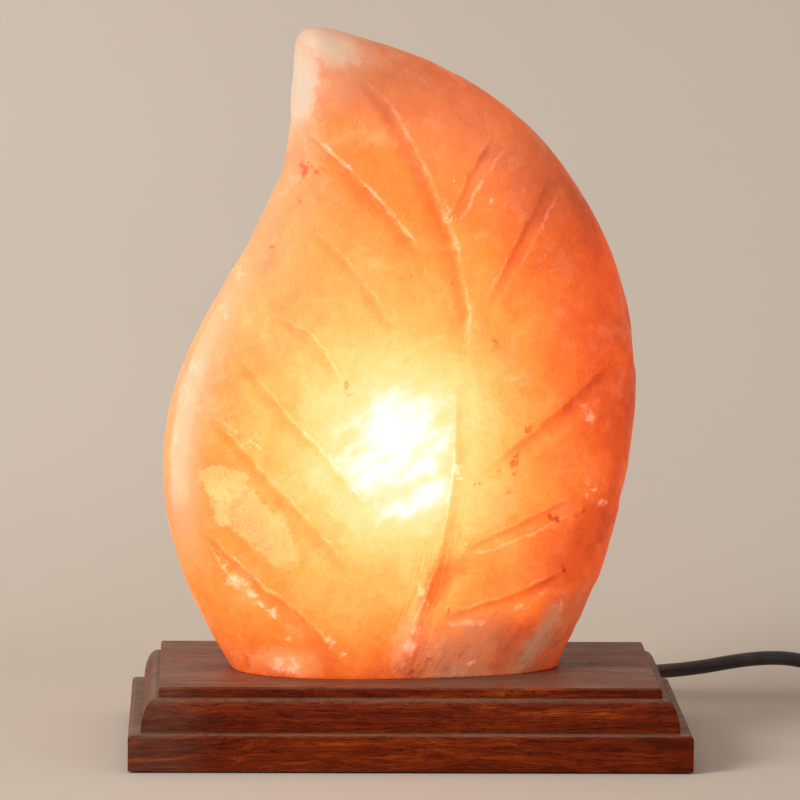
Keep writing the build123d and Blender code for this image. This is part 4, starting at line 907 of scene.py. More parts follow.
BLACK_RUBBER = Moulded("black_rubber", (0.018, 0.018, 0.018), 0.55, 0.5, 0.05, dust=0.3)
BLACK_CORD = Moulded("black_cord", (0.016, 0.0155, 0.015), 0.38, 0.9, 0.03, coat=0.15, scuffs=0.2, dust=0.2)
DIMMER_PLASTIC = Moulded("dimmer_plastic", (0.028, 0.028, 0.03), 0.5, 0.35, 0.06)
DIAL_PLASTIC = Moulded("dial_plastic", (0.05, 0.05, 0.052), 0.3, 0.6, 0.02, coat=0.3)
HOLDER_PLASTIC = Moulded("holder_plastic", (0.03, 0.029, 0.028), 0.3, 0.8, 0.03, coat=0.3)
NYLON = Moulded("nylon", (0.62, 0.60, 0.54), 0.5, 0.6, 0.03)
WIRE_SLEEVE = Moulded("wire_sleeve", (0.55, 0.55, 0.52), 0.4, 0.7, 0.02)
CERAMIC = Moulded("black_ceramic", (0.03, 0.03, 0.034), 0.12, 0.8, 0.02, coat=0.6, scuffs=0.1)
SOLDER_MASK = Moulded("circuit_board", (0.02, 0.16, 0.06), 0.35, 0.6, 0.03, coat=0.2)
POT_GREY = Moulded("component_grey", (0.30, 0.31, 0.33), 0.45, 0.4, 0.03)
CHIP_BLACK = Moulded("component_black", (0.03, 0.03, 0.03), 0.5, 0.3, 0.03)
CAPACITOR_YELLOW = Moulded("component_yellow", (0.70, 0.46, 0.06), 0.25, 0.6, 0.02, coat=0.4)
ZINC = Metal("zinc_screw", (0.60, 0.60, 0.58), (0.36, 0.35, 0.32), 0.35)
BRASS = Metal("brass", (0.80, 0.57, 0.25), (0.45, 0.28, 0.10), 0.28)
SPRING_STEEL = Metal("spring_steel", (0.60, 0.60, 0.61), (0.47, 0.46, 0.44), 0.36)
SOLDER = Metal("solder", (0.68, 0.68, 0.67), (0.40, 0.40, 0.39), 0.45)
NICKEL = Metal("nickel_wire", (0.55, 0.53, 0.50), (0.3, 0.29, 0.27), 0.3)
HOT_WIRE = Metal("tungsten", (0.30, 0.28, 0.26), (0.12, 0.11, 0.10), 0.5, glow=(1.0, 0.55, 0.18))
FELT = Felt("dark_felt")
TIE = Webbing("black_tie")
BULB_GLASS = Glass("clear_glass")
WOOD = StainedWood("stained_wood")
SALT = RockSalt("rock_salt")

NODE_FINISHES: dict[str, Finish] = {
    "plinth_board": WOOD, "felt_pads": FELT, "salt_screws": ZINC, "salt_anchors": NYLON,
    "cord_grommet": BLACK_RUBBER, "socket_body": HOLDER_PLASTIC, "socket_cap": HOLDER_PLASTIC,
    "socket_shell": BRASS, "socket_contact": BRASS, "terminal_plates": BRASS,
    "terminal_screws": BRASS, "socket_wires": WIRE_SLEEVE, "clip_bracket": SPRING_STEEL,
    "clip_rivets": SPRING_STEEL, "spring_clip_left": SPRING_STEEL, "spring_clip_right": SPRING_STEEL,
    "bulb_glass": BULB_GLASS, "bulb_stem": BULB_GLASS, "bulb_shell": BRASS,
    "bulb_insulator": CERAMIC, "bulb_contact": SOLDER, "bulb_lead_wires": NICKEL,
    "bulb_filament": HOT_WIRE, "dimmer_base": DIMMER_PLASTIC, "dimmer_cover": DIMMER_PLASTIC,
    "dimmer_dial": DIAL_PLASTIC, "dimmer_spindle": NYLON, "dimmer_board": SOLDER_MASK,
    "dimmer_potentiometer": POT_GREY, "dimmer_triac": CHIP_BLACK,
    "dimmer_capacitor": CAPACITOR_YELLOW, "dimmer_screws": ZINC, "dimmer_boots": BLACK_RUBBER,
    "coil_tie": TIE, "plug_body": BLACK_RUBBER, "plug_blades": BRASS,
}


# ---------------------------------------------------------------- mesh helpers
def show(name: str, mesh: bpy.types.ID) -> Piece:
    """Put new mesh or curve data into the scene as a piece."""
    piece = bpy.data.objects.new(name, mesh)
    bpy.context.scene.collection.objects.link(piece)
    return piece


def smooth_shade(mesh: bpy.types.Mesh) -> None:
    """Shade every face of a mesh smooth."""
    mesh.polygons.foreach_set("use_smooth", np.ones(len(mesh.polygons), dtype=bool))
    mesh.update()


def evaluated_copy(piece: Piece, name: str) -> bpy.types.Mesh:
    """The mesh of a piece with its modifiers applied, as data of its own."""
    graph = bpy.context.evaluated_depsgraph_get()
    mesh = bpy.data.meshes.new_from_object(piece.evaluated_get(graph), depsgraph=graph)
    mesh.name = name
    return mesh


def ripple(place: np.ndarray, wavelength: float, waves: int, seed: int) -> np.ndarray:
    """Smooth random relief of about unit height.

    Args:
        place: points, one row each.
        wavelength: typical distance between crests, in the same unit.
        waves: how many plane waves are added up.
        seed: start of the random numbers.

    Returns:
        One height for each point.
    """
    shortest, longest = 0.7, 1.6
    draw = np.random.default_rng(seed)
    directions = draw.normal(size=(waves, 3))
    directions /= np.linalg.norm(directions, axis=1)[:, None]
    lengths = wavelength * draw.uniform(shortest, longest, waves)
    phases = draw.uniform(0, 2 * math.pi, waves)
    total = np.zeros(len(place))
    for direction, length, phase in zip(directions, lengths, phases):
        total += np.sin(place @ direction * (2 * math.pi / length) + phase)
    return total / math.sqrt(waves)


def rounded_line(points: Sequence[Pair], rounds: int = 3) -> np.ndarray:
    """A polyline with its corners cut off again and again."""
    line = np.array(points, float)
    cut_off = 0.25
    for _ in range(rounds):
        starts, ends = line[:-1], line[1:]
        middle = np.empty((2 * len(starts), 2))
        middle[0::2] = (1 - cut_off) * starts + cut_off * ends
        middle[1::2] = cut_off * starts + (1 - cut_off) * ends
        line = np.vstack([line[:1], middle, line[-1:]])
    return line


def along_line(line: np.ndarray, across: np.ndarray, up: np.ndarray) -> tuple[np.ndarray, np.ndarray]:
    """Where points lie beside a line on the leaf.

    Args:
        line: the line's points, (across, up).
        across: place of each point across the leaf.
        up: place of each point up the leaf.

    Returns:
        The signed distance from the line, positive on its left, and the share of its length.
    """
    steps = np.linalg.norm(np.diff(line, axis=0), axis=1)
    starts = np.concatenate([[0.0], np.cumsum(steps)])
    best = np.full(across.shape, np.inf)
    signed = np.full(across.shape, np.inf)
    travelled = np.zeros(across.shape)
    for here, there, step, start in zip(line, line[1:], steps, starts):
        if step == 0.0:
            continue
        run = (there - here) / step
        offset_across = across - here[0]
        offset_up = up - here[1]
        travel = np.clip(offset_across * run[0] + offset_up * run[1], 0.0, step)
        away_across = offset_across - travel * run[0]
        away_up = offset_up - travel * run[1]
        away = np.hypot(away_across, away_up)
        side = np.sign(run[0] * away_up - run[1] * away_across)
        closer = away < best
        best = np.where(closer, away, best)
        signed = np.where(closer, away * side, signed)
        travelled = np.where(closer, start + travel, travelled)
    return signed, travelled / starts[-1]


# ---------------------------------------------------------------- salt leaf
@dataclass(frozen=True)
class Cut:
    """One carved vein: a sharp lip along a line, and a groove on one side of it.

    Places are (across, up) on the leaf in millimetres, from its rim to its midrib. The width
    runs from one end to the other, and near is the width of the steep wall at the lip. The solid
    holds the main grooves, so for those only the marks of the tool are added here: the first
    strength is how frosty the lip is and how strong its painted highlight, and the second the same
    for the groove's other edge.
    """

    lip: tuple[Pair, ...]
    side: int
    width: Pair
    depth: float
    near: float = 1.5
    in_solid: bool = True
    lip_frost_and_highlight: float = 0.8
    far_frost_and_highlight: float = 0.0


LEFT_OF_LIP = 1
RIGHT_OF_LIP = -1

CUTS: tuple[Cut, ...] = (
    # midrib, above and below the heart of the glow
    Cut(((-21.0, 201.5), (-9.1, 189.9), (3.0, 167.0), (12.2, 141.2), (16.0, 122.0), (14.5, 104.0)),
        RIGHT_OF_LIP, (5.0, 10.0), 1.9, lip_frost_and_highlight=0.5),
    Cut(((8.0, 160.0), (9.4, 152.7), (11.9, 142.9), (13.5, 135.0)),
        RIGHT_OF_LIP, (1.0, 1.0), 0.0, lip_frost_and_highlight=1.0),
    Cut(((10.5, 101.0), (10.7, 76.0), (8.4, 55.0), (3.0, 33.5), (-7.5, 5.0)),
        LEFT_OF_LIP, (6.0, 8.0), 1.5, lip_frost_and_highlight=0.45),
    # veins of the left half
    Cut(((-37.0, 182.0), (-23.2, 169.2), (-11.1, 156.3), (0.9, 141.3)),
        RIGHT_OF_LIP, (4.0, 7.5), 1.4, lip_frost_and_highlight=0.75),
    Cut(((-35.0, 149.5), (-28.0, 143.0), (-22.3, 137.0), (-16.2, 128.3), (-8.4, 115.2)),
        RIGHT_OF_LIP, (3.0, 6.0), 0.8, in_solid=False, lip_frost_and_highlight=0.4),
    Cut(((-47.0, 121.5), (-40.0, 117.5), (-34.4, 113.5), (-26.4, 99.8)),
        RIGHT_OF_LIP, (3.0, 6.0), 0.7, in_solid=False, lip_frost_and_highlight=0.4),
    Cut(((-59.5, 107.0), (-44.4, 88.8), (-30.0, 73.0), (-18.7, 58.4)),
        RIGHT_OF_LIP, (3.0, 7.0), 1.0, lip_frost_and_highlight=0.45),
    Cut(((-70.0, 89.5), (-52.5, 69.8), (-33.2, 49.1), (-24.1, 37.3)),
        RIGHT_OF_LIP, (3.0, 7.5), 1.4, lip_frost_and_highlight=0.4),
    Cut(((-68.0, 87.5), (-60.0, 82.0), (-52.5, 76.8)),
        RIGHT_OF_LIP, (2.0, 3.0), 0.5, in_solid=False, lip_frost_and_highlight=0.6),
    Cut(((-73.0, 51.0), (-52.1, 31.2), (-40.0, 23.0), (-24.0, 5.0)),
        RIGHT_OF_LIP, (3.0, 8.0), 1.5, lip_frost_and_highlight=0.5),
    Cut(((-70.0, 45.5), (-66.0, 38.5), (-63.5, 34.0), (-58.0, 31.5)),
        RIGHT_OF_LIP, (1.5, 3.0), 0.6, in_solid=False, lip_frost_and_highlight=0.4),
    # veins of the right half: wedges, some with two sharp lips
    Cut(((24.0, 180.0), (15.5, 167.0), (8.5, 152.0)),
        LEFT_OF_LIP, (6.5, 3.5), 1.3, lip_frost_and_highlight=0.25, far_frost_and_highlight=0.6),
    Cut(((44.5, 168.0), (34.2, 149.7), (21.0, 126.0)),
        LEFT_OF_LIP, (6.5, 4.0), 1.1, lip_frost_and_highlight=0.45, far_frost_and_highlight=0.45),
    Cut(((66.0, 107.0), (53.3, 95.0), (30.7, 78.2), (19.0, 70.5)),
        LEFT_OF_LIP, (7.0, 6.0), 1.4, lip_frost_and_highlight=0.15),
    Cut(((53.0, 61.5), (33.0, 52.5), (14.0, 44.5)),
        LEFT_OF_LIP, (6.0, 2.0), 1.6, lip_frost_and_highlight=0.3),
    Cut(((53.0, 54.3), (47.5, 52.8), (36.5, 47.4), (19.9, 42.1), (14.0, 43.5)),
        RIGHT_OF_LIP, (1.0, 1.0), 0.0, lip_frost_and_highlight=0.5),
    Cut(((50.5, 36.5), (33.2, 28.9), (5.5, 21.1)),
        LEFT_OF_LIP, (6.5, 2.5), 1.8, lip_frost_and_highlight=0.55),
    Cut(((45.0, 30.5), (37.0, 24.1), (25.4, 21.0), (19.7, 18.7), (7.7, 18.4), (5.2, 20.0)),
        RIGHT_OF_LIP, (1.0, 1.0), 0.0, lip_frost_and_highlight=0.9),
)

# (across, up, reach) of white crystals and of rusty specks on the carved face
CRYSTALS: tuple[Point, ...] = (
    (57.6, 86.5, 3.4), (56.2, 89.6, 1.8), (57.2, 64.3, 1.7), (57.2, 59.3, 1.7), (62.6, 56.9, 2.6),
    (60.0, 62.0, 1.5), (47.9, 22.9, 2.8), (12.0, 70.5, 3.0), (12.5, 67.0, 2.4), (0.3, 30.0, 2.6),
    (0.8, 26.5, 2.4), (13.9, 44.8, 2.0), (-61.6, 32.7, 4.6), (-58.5, 31.5, 3.2), (-64.5, 36.5, 2.2),
    (-49.6, 22.5, 3.4), (-52.5, 25.5, 2.8), (-55.5, 28.5, 2.4), (-43.3, 14.2, 1.7), (-29.8, 12.5, 2.6),
    (-26.0, 8.5, 2.0), (-46.5, 4.5, 5.0), (-42.0, 4.0, 5.0), (17.0, 5.0, 2.2), (-4.0, 11.0, 4.0),
    (-2.0, 17.0, 3.4), (24.0, 158.0, 1.4), (10.5, 165.0, 1.6),
)
RUST: tuple[Point, ...] = (
    (35.9, 84.1, 2.6), (35.2, 82.6, 1.8), (31.3, 73.9, 1.9), (31.2, 72.2, 1.9), (30.9, 68.5, 1.9),
    (28.8, 63.3, 1.4), (19.0, 65.1, 1.3), (26.0, 70.0, 1.2), (56.6, 55.3, 1.7), (43.9, 52.4, 2.4),
    (45.6, 52.8, 1.9), (48.7, 35.1, 1.9), (2.3, 6.6, 1.6), (-3.2, 1.9, 1.8), (-37.5, 168.0, 2.6),
    (-35.5, 169.0, 2.2), (-34.2, 168.6, 1.6), (-38.6, 170.0, 1.6), (-37.0, 171.0, 1.4),
    (-41.6, 167.5, 1.6), (-38.9, 163.4, 1.5), (-39.5, 158.5, 1.4), (-48.4, 143.4, 2.2),
    (-26.1, 98.8, 1.6), (-25.0, 96.5, 1.4), (10.0, 132.0, 1.4), (-3.0, 134.0, 1.3), (24.0, 112.0, 1.4),
    (42.0, 155.0, 1.4), (9.0, 23.0, 1.4),
)


class LeafPlaces:
    """Where every vertex of the leaf's mesh lies, in the leaf's own millimetres."""

    def __init__(self, mesh: bpy.types.Mesh) -> None:
        """Read the vertices and their normals."""
        places = np.empty(len(mesh.vertices) * 3)
        mesh.vertices.foreach_get("co", places)
        self.place = places.reshape(-1, 3) / MM
        normals = np.empty(len(mesh.vertices) * 3, dtype=np.float32)
        mesh.vertex_normals.foreach_get("vector", normals)
        self.normal = normals.reshape(-1, 3)
        turn = math.radians(SALT.yaw)
        right, back, height = self.place.T
        self.across = right * math.cos(turn) + back * math.sin(turn)
        self.deep = back * math.cos(turn) - right * math.sin(turn)
        self.up = height - SALT.foot


@dataclass
class Carving:
    """What the cuts leave at each vertex, and its distance from the nearest frosty lip, which also gets a
    painted highlight.
    """

    depth: np.ndarray
    cut: np.ndarray
    lip: np.ndarray
    lip_strength: np.ndarray


@dataclass
class SaltLeaf:
    """The carved leaf of rock salt. Its lengths are in millimetres."""

    node: str = "salt_block"
    grid: float = 0.8
    quick_coarser: float = 2.0
    bore: float = 21.5
    bore_top: float = 116.0
    foot_fade: Pair = (0.2, 1.7)
    edge_fade: Pair = (5.0, 13.0)
    undulation: float = 0.32
    narrow_share: float = 0.45
    lip_reach: float = 5.0
    ragged: float = 0.28
    run_in: float = 0.16
    run_out: float = 0.14
    marked_depth: float = 1.5
    lower_midrib: int = 2
    streaked: float = 14.0
    smear: float = 0.9
    rim_levels: int = 60
    rim_reach: float = 2.5

    def build(self) -> Piece:
        """Mesh the leaf finely, grind and carve its outside.

        Returns:
            The carved piece.
        """
        blank = show("leaf_blank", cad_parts[self.node].data.copy())
        remesh = blank.modifiers.new("fine", "REMESH")
        remesh.mode = "VOXEL"
        remesh.voxel_size = self.grid * MM * 1.0
        mesh = evaluated_copy(blank, "salt_leaf")
        bpy.data.objects.remove(blank)
        smooth_shade(mesh)
        self._carve(mesh)
        return show("salt_leaf", mesh)

    def _carve(self, mesh: bpy.types.Mesh) -> None:
        """Move the outer surface inwards where it is ground or cut, and note the marks on it."""
        leaf = LeafPlaces(mesh)
        outer = self._outer(leaf)
        edge_low, edge_high = self.edge_fade
        facing = np.clip((np.abs(leaf.deep) - edge_low) / (edge_high - edge_low), 0.0, 1.0)
        facing = facing * facing * (3 - 2 * facing) * outer
        made = self._cuts(leaf)
        broad = ripple(leaf.place, wavelength=24.0, waves=18, seed=5)
        narrow = ripple(leaf.place, wavelength=9.0, waves=18, seed=8)
        ground = np.clip(self.undulation * (broad + self.narrow_share * narrow), 0.0, None) * outer
        moved = leaf.place - leaf.normal * (made.depth * facing + ground)[:, None]
        mesh.vertices.foreach_set("co", (moved * MM).astype(np.float32).ravel())
        midrib, _ = along_line(rounded_line(CUTS[self.lower_midrib].lip, 0), leaf.across, leaf.up)
        marks = {"cut": made.cut * facing,
                 "lip": made.lip,
                 "lip_strength": made.lip_strength * facing,
                 "midrib": np.clip(midrib, -self.streaked, self.streaked),
                 "crystal": self._cones(CRYSTALS, leaf) * facing * (leaf.deep < 0.0),
                 "rust": self._cones(RUST, leaf) * facing * (leaf.deep < 0.0),
                 "rim": self._rim(leaf)}
        for name, values in marks.items():
            mark = mesh.attributes.new(name, "FLOAT", "POINT")
            mark.data.foreach_set("value", values.astype(np.float32))
        mesh.update()

    def _outer(self, leaf: LeafPlaces) -> np.ndarray:
        """1 on the outside of the leaf, 0 in its bore and on its foot."""
        inside = (np.hypot(leaf.place[:, 0], leaf.place[:, 1]) < self.bore) & (leaf.up < self.bore_top)
        low, high = self.foot_fade
        return np.where(inside, 0.0, np.clip((leaf.up - low) / (high - low), 0.0, 1.0))

    def _cuts(self, leaf: LeafPlaces) -> Carving:
        """Work out the depth and the marks of all the cuts.

        Args:
            leaf: where the vertices lie.

        Returns:
            The carving at each vertex.
        """
        count = len(leaf.up)
        waver = self.ragged * ripple(leaf.place, wavelength=5.0, waves=14, seed=3)
        made = Carving(np.zeros(count), np.zeros(count), np.full(count, self.lip_reach), np.zeros(count))
        for cut in CUTS:
            line = rounded_line(cut.lip, 0 if cut.in_solid else 3)
            signed, share = along_line(line, leaf.across, leaf.up)
            beside = cut.side * signed + waver
            width = cut.width[0] + (cut.width[1] - cut.width[0]) * share
            ends = np.clip(share / self.run_in, 0.0, 1.0) * np.clip((1.0 - share) / self.run_out, 0.0, 1.0)
            ends = np.where((share <= 0.0) | (share >= 1.0), 0.0, ends)
            wall = np.minimum(beside / cut.near, (width - beside) / (width - cut.near))
            wall = np.clip(wall, 0.0, 1.0) * ends
            if not cut.in_solid:
                made.depth = np.maximum(made.depth, wall * cut.depth)
            # the groove walls, whose glow gets a painted shade
            made.cut = np.maximum(made.cut, wall * min(1.0, cut.depth / self.marked_depth))
            for distance, strength in ((beside, cut.lip_frost_and_highlight), (width - beside, cut.far_frost_and_highlight)):
                nearer = (np.abs(distance) < np.abs(made.lip)) & (ends > 0.0) & (strength > 0.0)
                made.lip = np.where(nearer, distance, made.lip)
                made.lip_strength = np.where(nearer, strength * ends, made.lip_strength)
        made.lip_strength[np.abs(made.lip) > self.lip_reach / 2] = 0.0
        return made

    def _cones(self, spots: Sequence[Point], leaf: LeafPlaces) -> np.ndarray:
        """A smeared field that is 1 in the middle of each spot and falls to 0 at its reach."""
        across = leaf.across + self.smear * ripple(leaf.place, wavelength=3.2, waves=14, seed=21)
        up = leaf.up + self.smear * ripple(leaf.place, wavelength=3.2, waves=14, seed=22)
        cones = np.zeros(len(across))
        for middle, height, reach in spots:
            away = np.hypot(across - middle, up - height)
            cones = np.maximum(cones, 1.0 - away / reach)
        return cones

    def _rim(self, leaf: LeafPlaces) -> np.ndarray:
        """Where each point lies between the leaf's left and right rim, from -1 to 1."""
        left, right = np.percentile(leaf.across, 0.2), np.percentile(leaf.across, 99.8)
        levels = np.linspace(leaf.up.min(), leaf.up.max(), self.rim_levels)
        middles, halves = [], []
        for level in levels:
            row = leaf.across[np.abs(leaf.up - level) < self.rim_reach]
            low, high = (row.min(), row.max()) if len(row) else (left, right)
            middles.append((low + high) / 2)
            halves.append(max((high - low) / 2, 1.0))
        return (leaf.across - np.interp(leaf.up, levels, middles)) / np.interp(leaf.up, levels, halves)

    def dress(self, piece: Piece) -> None:
        """Finish the leaf and set it on the lamp."""
        SALT.cover(piece)
        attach(piece, Body.LAMP.value)
        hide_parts(self.node)


# ---------------------------------------------------------------- cords
@dataclass
class FreeCord:
    """A round cord on one smooth line through its route."""

    name: str
    route: tuple[Point, ...]
    length: float
    far_end: str
    nodes: tuple[str, ...]
    carried: tuple[str, ...]
    lay: str = "loose"
    diameter: float = 5.0
    roundness: int = 6
    smoothness: int = 8

    def build(self) -> Piece:
        """Lay the cord's curve.

        Returns:
            The cord.
        """
        curve = bpy.data.curves.new(self.name, "CURVE")
        curve.dimensions = "3D"
        curve.bevel_depth = self.diameter / 2 * MM
        curve.bevel_resolution = self.roundness
        curve.resolution_u = self.smoothness
        curve.use_fill_caps = True
        spline = curve.splines.new("NURBS")
        spline.points.add(len(self.route) - 1)
        for point, place in zip(spline.points, self.route):
            point.co = (*(value * MM for value in place), 1.0)
        spline.order_u = 3
        spline.use_endpoint_u = True
        return show(self.name, curve)

    def dress(self, piece: Piece) -> None:
        """Finish the cord, set it on the lamp and hide the pieces that it stands for."""
        BLACK_CORD.cover(piece)
        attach(piece, Body.LAMP.value)
        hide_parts(*self.nodes)


@dataclass
class Coil:
    """The put-away turns: a layer wound inwards, then one wound outwards on top of it."""

    centre: Pair = (256.2, 34.0)
    outer: float = 37.5
    pitch: float = 5.0
    low: float = 3.3
    rise: float = 4.8
    start: float = 10.0
    finish: float = -41.6
    turns: int = 7
    steps: int = 20

    def points(self) -> tuple[Point, ...]:
        """Work out the turns, clockwise as seen from above.

        Returns:
            Points of the cord's line in millimetres.
        """
        inner = self.outer - 3 * self.pitch
        half = self.pitch / 2
        turns_at = (0.0, 0.35, 3.2, 3.7, 4.05, 6.5, 8.0)
        radii = (self.outer, self.outer, inner, inner, inner + half, self.outer - half, self.outer - half)
        layers = (0.0, 0.0, 0.0, 0.0, 1.0, 1.0, 1.0)
        total = self.turns + (self.start - self.finish) / 360.0
        count = round(total * self.steps)
        made = []
        for step in range(1, count):
            turned = total * step / count
            radius = float(np.interp(turned, turns_at, radii))
            angle = math.radians(self.start - 360.0 * turned)
            made.append((self.centre[0] + radius * math.cos(angle),
                         self.centre[1] + radius * math.sin(angle),
                         self.low + self.rise * float(np.interp(turned, turns_at, layers))))
        return tuple(made)


LAMP_CORD_ROUTE: tuple[Point, ...] = (
    (0.0, 78.0, 7.0), (0.0, 93.6, 7.0), (9.4, 109.2, 6.8), (26.5, 117.2, 6.6), (53.0, 112.6, 6.5),
    (79.0, 100.6, 6.9), (103.0, 93.6, 9.6), (124.0, 91.8, 14.0), (139.0, 91.2, 14.4),
    (151.0, 90.4, 10.9), (160.0, 90.0, 8.0), (169.0, 90.0, 8.0),
)
MAINS_CORD_ROUTE: tuple[Point, ...] = (
    (257.0, 90.0, 8.0), (273.0, 90.0, 8.0), (286.0, 82.2, 6.4), (293.2, 68.2, 4.6),
    (293.8, 53.0, 3.6), (293.1, 40.5, 3.3),
)
PLUG_LEAD_ROUTE: tuple[Point, ...] = (
    (282.3, 10.8, 6.4), (270.6, -2.6, 4.4), (256.2, -14.0, 5.0), (241.0, -21.0, 8.0), (227.0, -21.0, 8.0),
)
DIMMER_NODES = ("dimmer_base", "dimmer_cover", "dimmer_dial", "dimmer_spindle", "dimmer_potentiometer",
                "dimmer_board", "dimmer_triac", "dimmer_capacitor", "dimmer_screws", "dimmer_boots")


@dataclass
class InnerLead:
    """The lead from the grommet to the lamp holder.

    It rises beside the holder's way before it turns in under the cap; it is round and passes the
    holder and the bulb.
    """

    radius: float = 2.5
    level: float = 7.0
    outer_end: float = 78.0
    riser: float = 17.0
    riser_top: float = 27.0
    bend: float = 2.6
    bend_steps: int = 10
    step: float = 0.35
    ring: int = 20
    hold: tuple[Point, Point] = ((0.0, 0.017, 0.010), (0.0, 0.017, 0.0243))

    def line(self) -> np.ndarray:
        """The lead's line from the grommet's tip to the cap, in even steps.

        Returns:
            Its points, (deep, up) in millimetres.
        """
        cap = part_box("socket_cap")[0].z / MM
        corners = np.array(((self.outer_end, self.level), (self.riser, self.level),
                            (self.riser, self.riser_top), (0.0, self.riser_top), (0.0, cap)))
        points = [corners[0]]
        for before, corner, after in zip(corners, corners[1:], corners[2:]):
            coming = (corner - before) / np.linalg.norm(corner - before)
            going = (after - corner) / np.linalg.norm(after - corner)
            for turn in np.linspace(0.0, math.pi / 2, self.bend_steps + 1):
                points.append(corner - coming * self.bend * (1 - math.sin(turn))
                              + going * self.bend * (1 - math.cos(turn)))
        points = np.array(points + [corners[-1]])
        travelled = np.concatenate([[0.0], np.cumsum(np.linalg.norm(np.diff(points, axis=0), axis=1))])
        even = np.linspace(0.0, travelled[-1], round(travelled[-1] / self.step) + 1)
        return np.column_stack([np.interp(even, travelled, points[:, axis]) for axis in (0, 1)])

    def build(self) -> Piece:
        """Sweep a round section along the lead's line.

        Returns:
            The lead.
        """
        line = self.line()
        vertices, faces = [], []
        for index, (deep, up) in enumerate(line):
            before, after = line[max(index - 1, 0)], line[min(index + 1, len(line) - 1)]
            ahead = Vector((0.0, *(after - before))).normalized()
            side = Vector((1.0, 0.0, 0.0))
            over = side.cross(ahead)
            for spoke in range(self.ring):
                turn = 2 * math.pi * spoke / self.ring
                out = side * math.cos(turn) + over * math.sin(turn)
                vertices.append(tuple((Vector((0.0, deep, up)) + out * self.radius) * MM))
        for row in range(len(line) - 1):
            for spoke in range(self.ring):
                beside = (spoke + 1) % self.ring
                faces.append((row * self.ring + spoke, row * self.ring + beside,
                              (row + 1) * self.ring + beside, (row + 1) * self.ring + spoke))
        faces.append(tuple(range(self.ring - 1, -1, -1)))
        faces.append(tuple(range((len(line) - 1) * self.ring, len(line) * self.ring)))
        mesh = bpy.data.meshes.new("inner_lead_flex")
        mesh.from_pydata(vertices, [], faces)
        smooth_shade(mesh)
        return show("inner_lead_flex", mesh)

    def dress(self, piece: Piece) -> None:
        """Finish the lead and hide the model's own lead."""
        BLACK_CORD.cover(piece)
        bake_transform(piece)
        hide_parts("inner_lead")


# ---------------------------------------------------------------- studio
@dataclass
class ViewPoint:
    """The camera, where the photograph was taken from."""

    azimuth: float = -1.748
    elevation: float = 6.974
    roll: float = 0.449
    distance: float = 2.05
    target: Point = (-0.00279, 0.0, 0.11659)
    lens: float = 274.95
    sensor: float = 36.0
    seen_range: Pair = (0.1, 50.0)

    def build(self) -> None:
        """Set up the camera and make it the scene's own."""
        turn, lift, tilt = (math.radians(angle) for angle in (self.azimuth, self.elevation, self.roll))
        back = Vector((math.sin(turn) * math.cos(lift), -math.cos(turn) * math.cos(lift), math.sin(lift)))
        right = (-back).cross(Vector((0.0, 0.0, 1.0))).normalized()
        above = right.cross(-back)
        side = right * math.cos(tilt) + above * math.sin(tilt)
        top = above * math.cos(tilt) - right * math.sin(tilt)
        data = bpy.data.cameras.new("viewpoint")
        data.sensor_width = self.sensor
        data.lens = self.lens
        data.clip_start, data.clip_end = self.seen_range
        camera = show("viewpoint", data)
        camera.matrix_world = Matrix.Translation(Vector(self.target) + back * self.distance) @ Matrix(
            (side, top, back)).transposed().to_4x4()
        bpy.context.scene.camera = camera


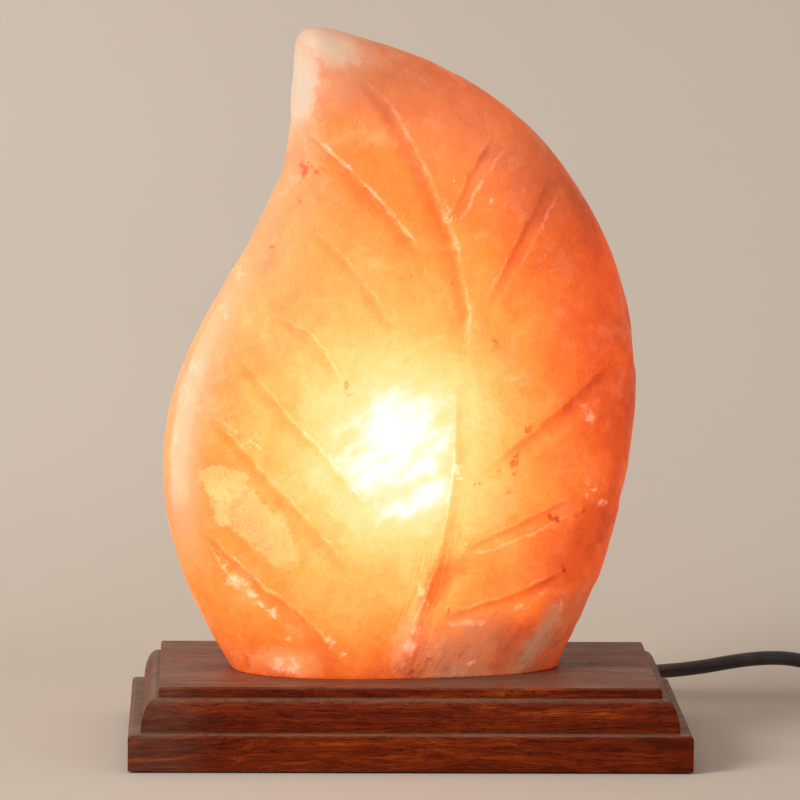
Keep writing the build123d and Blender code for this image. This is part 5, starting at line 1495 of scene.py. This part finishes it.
@dataclass
class Studio:
    """A plain pale sheet, table below and wall behind, in soft light from the left."""

    colour: Colour = (0.635, 0.565, 0.485)
    mottle_size: float = 240.0
    mottle_shade: float = 0.97
    bend_from: float = 0.14
    bend_radius: float = 0.30
    bend_steps: int = 24
    wall_height: float = 3.0
    half_width: float = 4.0
    lights: tuple[tuple[str, Point, float, float], ...] = (
        ("key", (-1.3, -0.85, 0.95), 0.7, 21.0),
        ("fill", (1.5, -1.5, 0.9), 1.4, 2.5),
    )
    aimed_at: Point = (0.0, 0.0, 0.1)
    world_colour: Colour = (0.80, 0.77, 0.74)
    world_strength: float = 0.6

    def build(self) -> None:
        """Lay the table and wall, and hang the lights."""
        reach = self.half_width
        profile = [(-reach, 0.0)]
        for step in range(self.bend_steps + 1):
            turn = math.pi / 2 * step / self.bend_steps
            profile.append((self.bend_from + self.bend_radius * math.sin(turn),
                            self.bend_radius * (1 - math.cos(turn))))
        profile.append((self.bend_from + self.bend_radius, self.wall_height))
        corners = [(side * reach, y, z) for y, z in profile for side in (-1, 1)]
        faces = [(2 * row, 2 * row + 1, 2 * row + 3, 2 * row + 2) for row in range(len(profile) - 1)]
        # the table also runs on under the bend, for the views from behind
        first = len(corners)
        corners += [(side * reach, y, 0.0) for y in (self.bend_from, reach) for side in (-1, 1)]
        faces.append((first, first + 1, first + 3, first + 2))
        mesh = bpy.data.meshes.new("sheet")
        mesh.from_pydata(corners, [], faces)
        smooth_shade(mesh)
        sheet = show("sheet", mesh)
        sheet.data.materials.append(self._paint())
        for light in self.lights:
            self._lamp(*light)
        self._world()

    def _paint(self) -> bpy.types.Material:
        """Matt paint with the faintest mottle, clear from behind."""
        made = bpy.data.materials.new("pale_sheet")
        made.use_nodes = True
        made.node_tree.nodes.clear()
        graph = Graph(made.node_tree)
        matt = graph.node("ShaderNodeBsdfDiffuse")
        graph.feed(matt.inputs["Color"], graph.group(
            Effect.MOTTLE, Place=graph.millimetres(), Size=self.mottle_size, Light=self.colour,
            Dark=shade(self.colour, self.mottle_shade)))
        clear = graph.node("ShaderNodeBsdfTransparent")
        behind = graph.node("ShaderNodeNewGeometry").outputs["Backfacing"]
        choose = graph.node("ShaderNodeMixShader")
        for socket, value in zip(choose.inputs, (behind, matt.outputs[0], clear.outputs[0])):
            graph.feed(socket, value)
        graph.feed(graph.node("ShaderNodeOutputMaterial").inputs["Surface"], choose.outputs[0])
        return made

    def _lamp(self, name: str, place: Point, size: float, power: float) -> None:
        """A square soft light that looks at the object."""
        data = bpy.data.lights.new(name, "AREA")
        data.size = size
        data.energy = power
        lamp = show(name, data)
        lamp.location = place
        aim = Vector(self.aimed_at) - Vector(place)
        lamp.rotation_euler = aim.to_track_quat("-Z", "Y").to_euler()

    def _world(self) -> None:
        """Even pale light from all round."""
        world = bpy.data.worlds.new("pale_room")
        bpy.context.scene.world = world
        world.use_nodes = True
        backdrop = world.node_tree.nodes["Background"]
        backdrop.inputs["Color"].default_value = (*self.world_colour, 1.0)
        backdrop.inputs["Strength"].default_value = self.world_strength


# ---------------------------------------------------------------- the lamp
def dress_nodes() -> None:
    """Give every construction piece its own finish."""
    for node, finish in NODE_FINISHES.items():
        finish.cover(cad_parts[node])
        LOG.info("%s: %s", node, finish.name)


def build_cords() -> None:
    lamp_cord = FreeCord("lamp_flex", LAMP_CORD_ROUTE, 0.197, "fitting", ("lamp_cord",),
                         ("cord_grommet", *DIMMER_NODES))
    mains = FreeCord("mains_flex", MAINS_CORD_ROUTE + Coil().points() + PLUG_LEAD_ROUTE, 1.46, "plug",
                     ("mains_cord", "cord_coil", "plug_lead"), ("coil_tie", "plug_body", "plug_blades"),
                     lay="coiled")
    for cord in (lamp_cord, mains):
        cord.dress(cord.build())
        LOG.info("%s: %.3f m of cord", cord.name, cord.length)


def main() -> None:
    """Build and dress the lamp, piece by piece."""
    logging.basicConfig(level=logging.INFO, format="%(message)s")
    bpy.context.scene.view_settings.view_transform = "Standard"
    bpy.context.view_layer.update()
    ViewPoint().build()
    Studio().build()
    build_cords()
    dress_nodes()
    for part in (InnerLead(), SaltLeaf()):
        piece = part.build()
        part.dress(piece)
        LOG.info("%s: %d faces", piece.name, len(piece.data.polygons))


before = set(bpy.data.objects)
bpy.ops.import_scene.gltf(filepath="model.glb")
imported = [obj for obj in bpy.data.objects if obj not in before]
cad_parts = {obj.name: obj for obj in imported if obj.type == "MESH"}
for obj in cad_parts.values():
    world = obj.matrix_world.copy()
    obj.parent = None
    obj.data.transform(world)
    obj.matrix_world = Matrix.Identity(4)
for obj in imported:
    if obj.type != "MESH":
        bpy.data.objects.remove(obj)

if __name__ == "__main__":
    main()
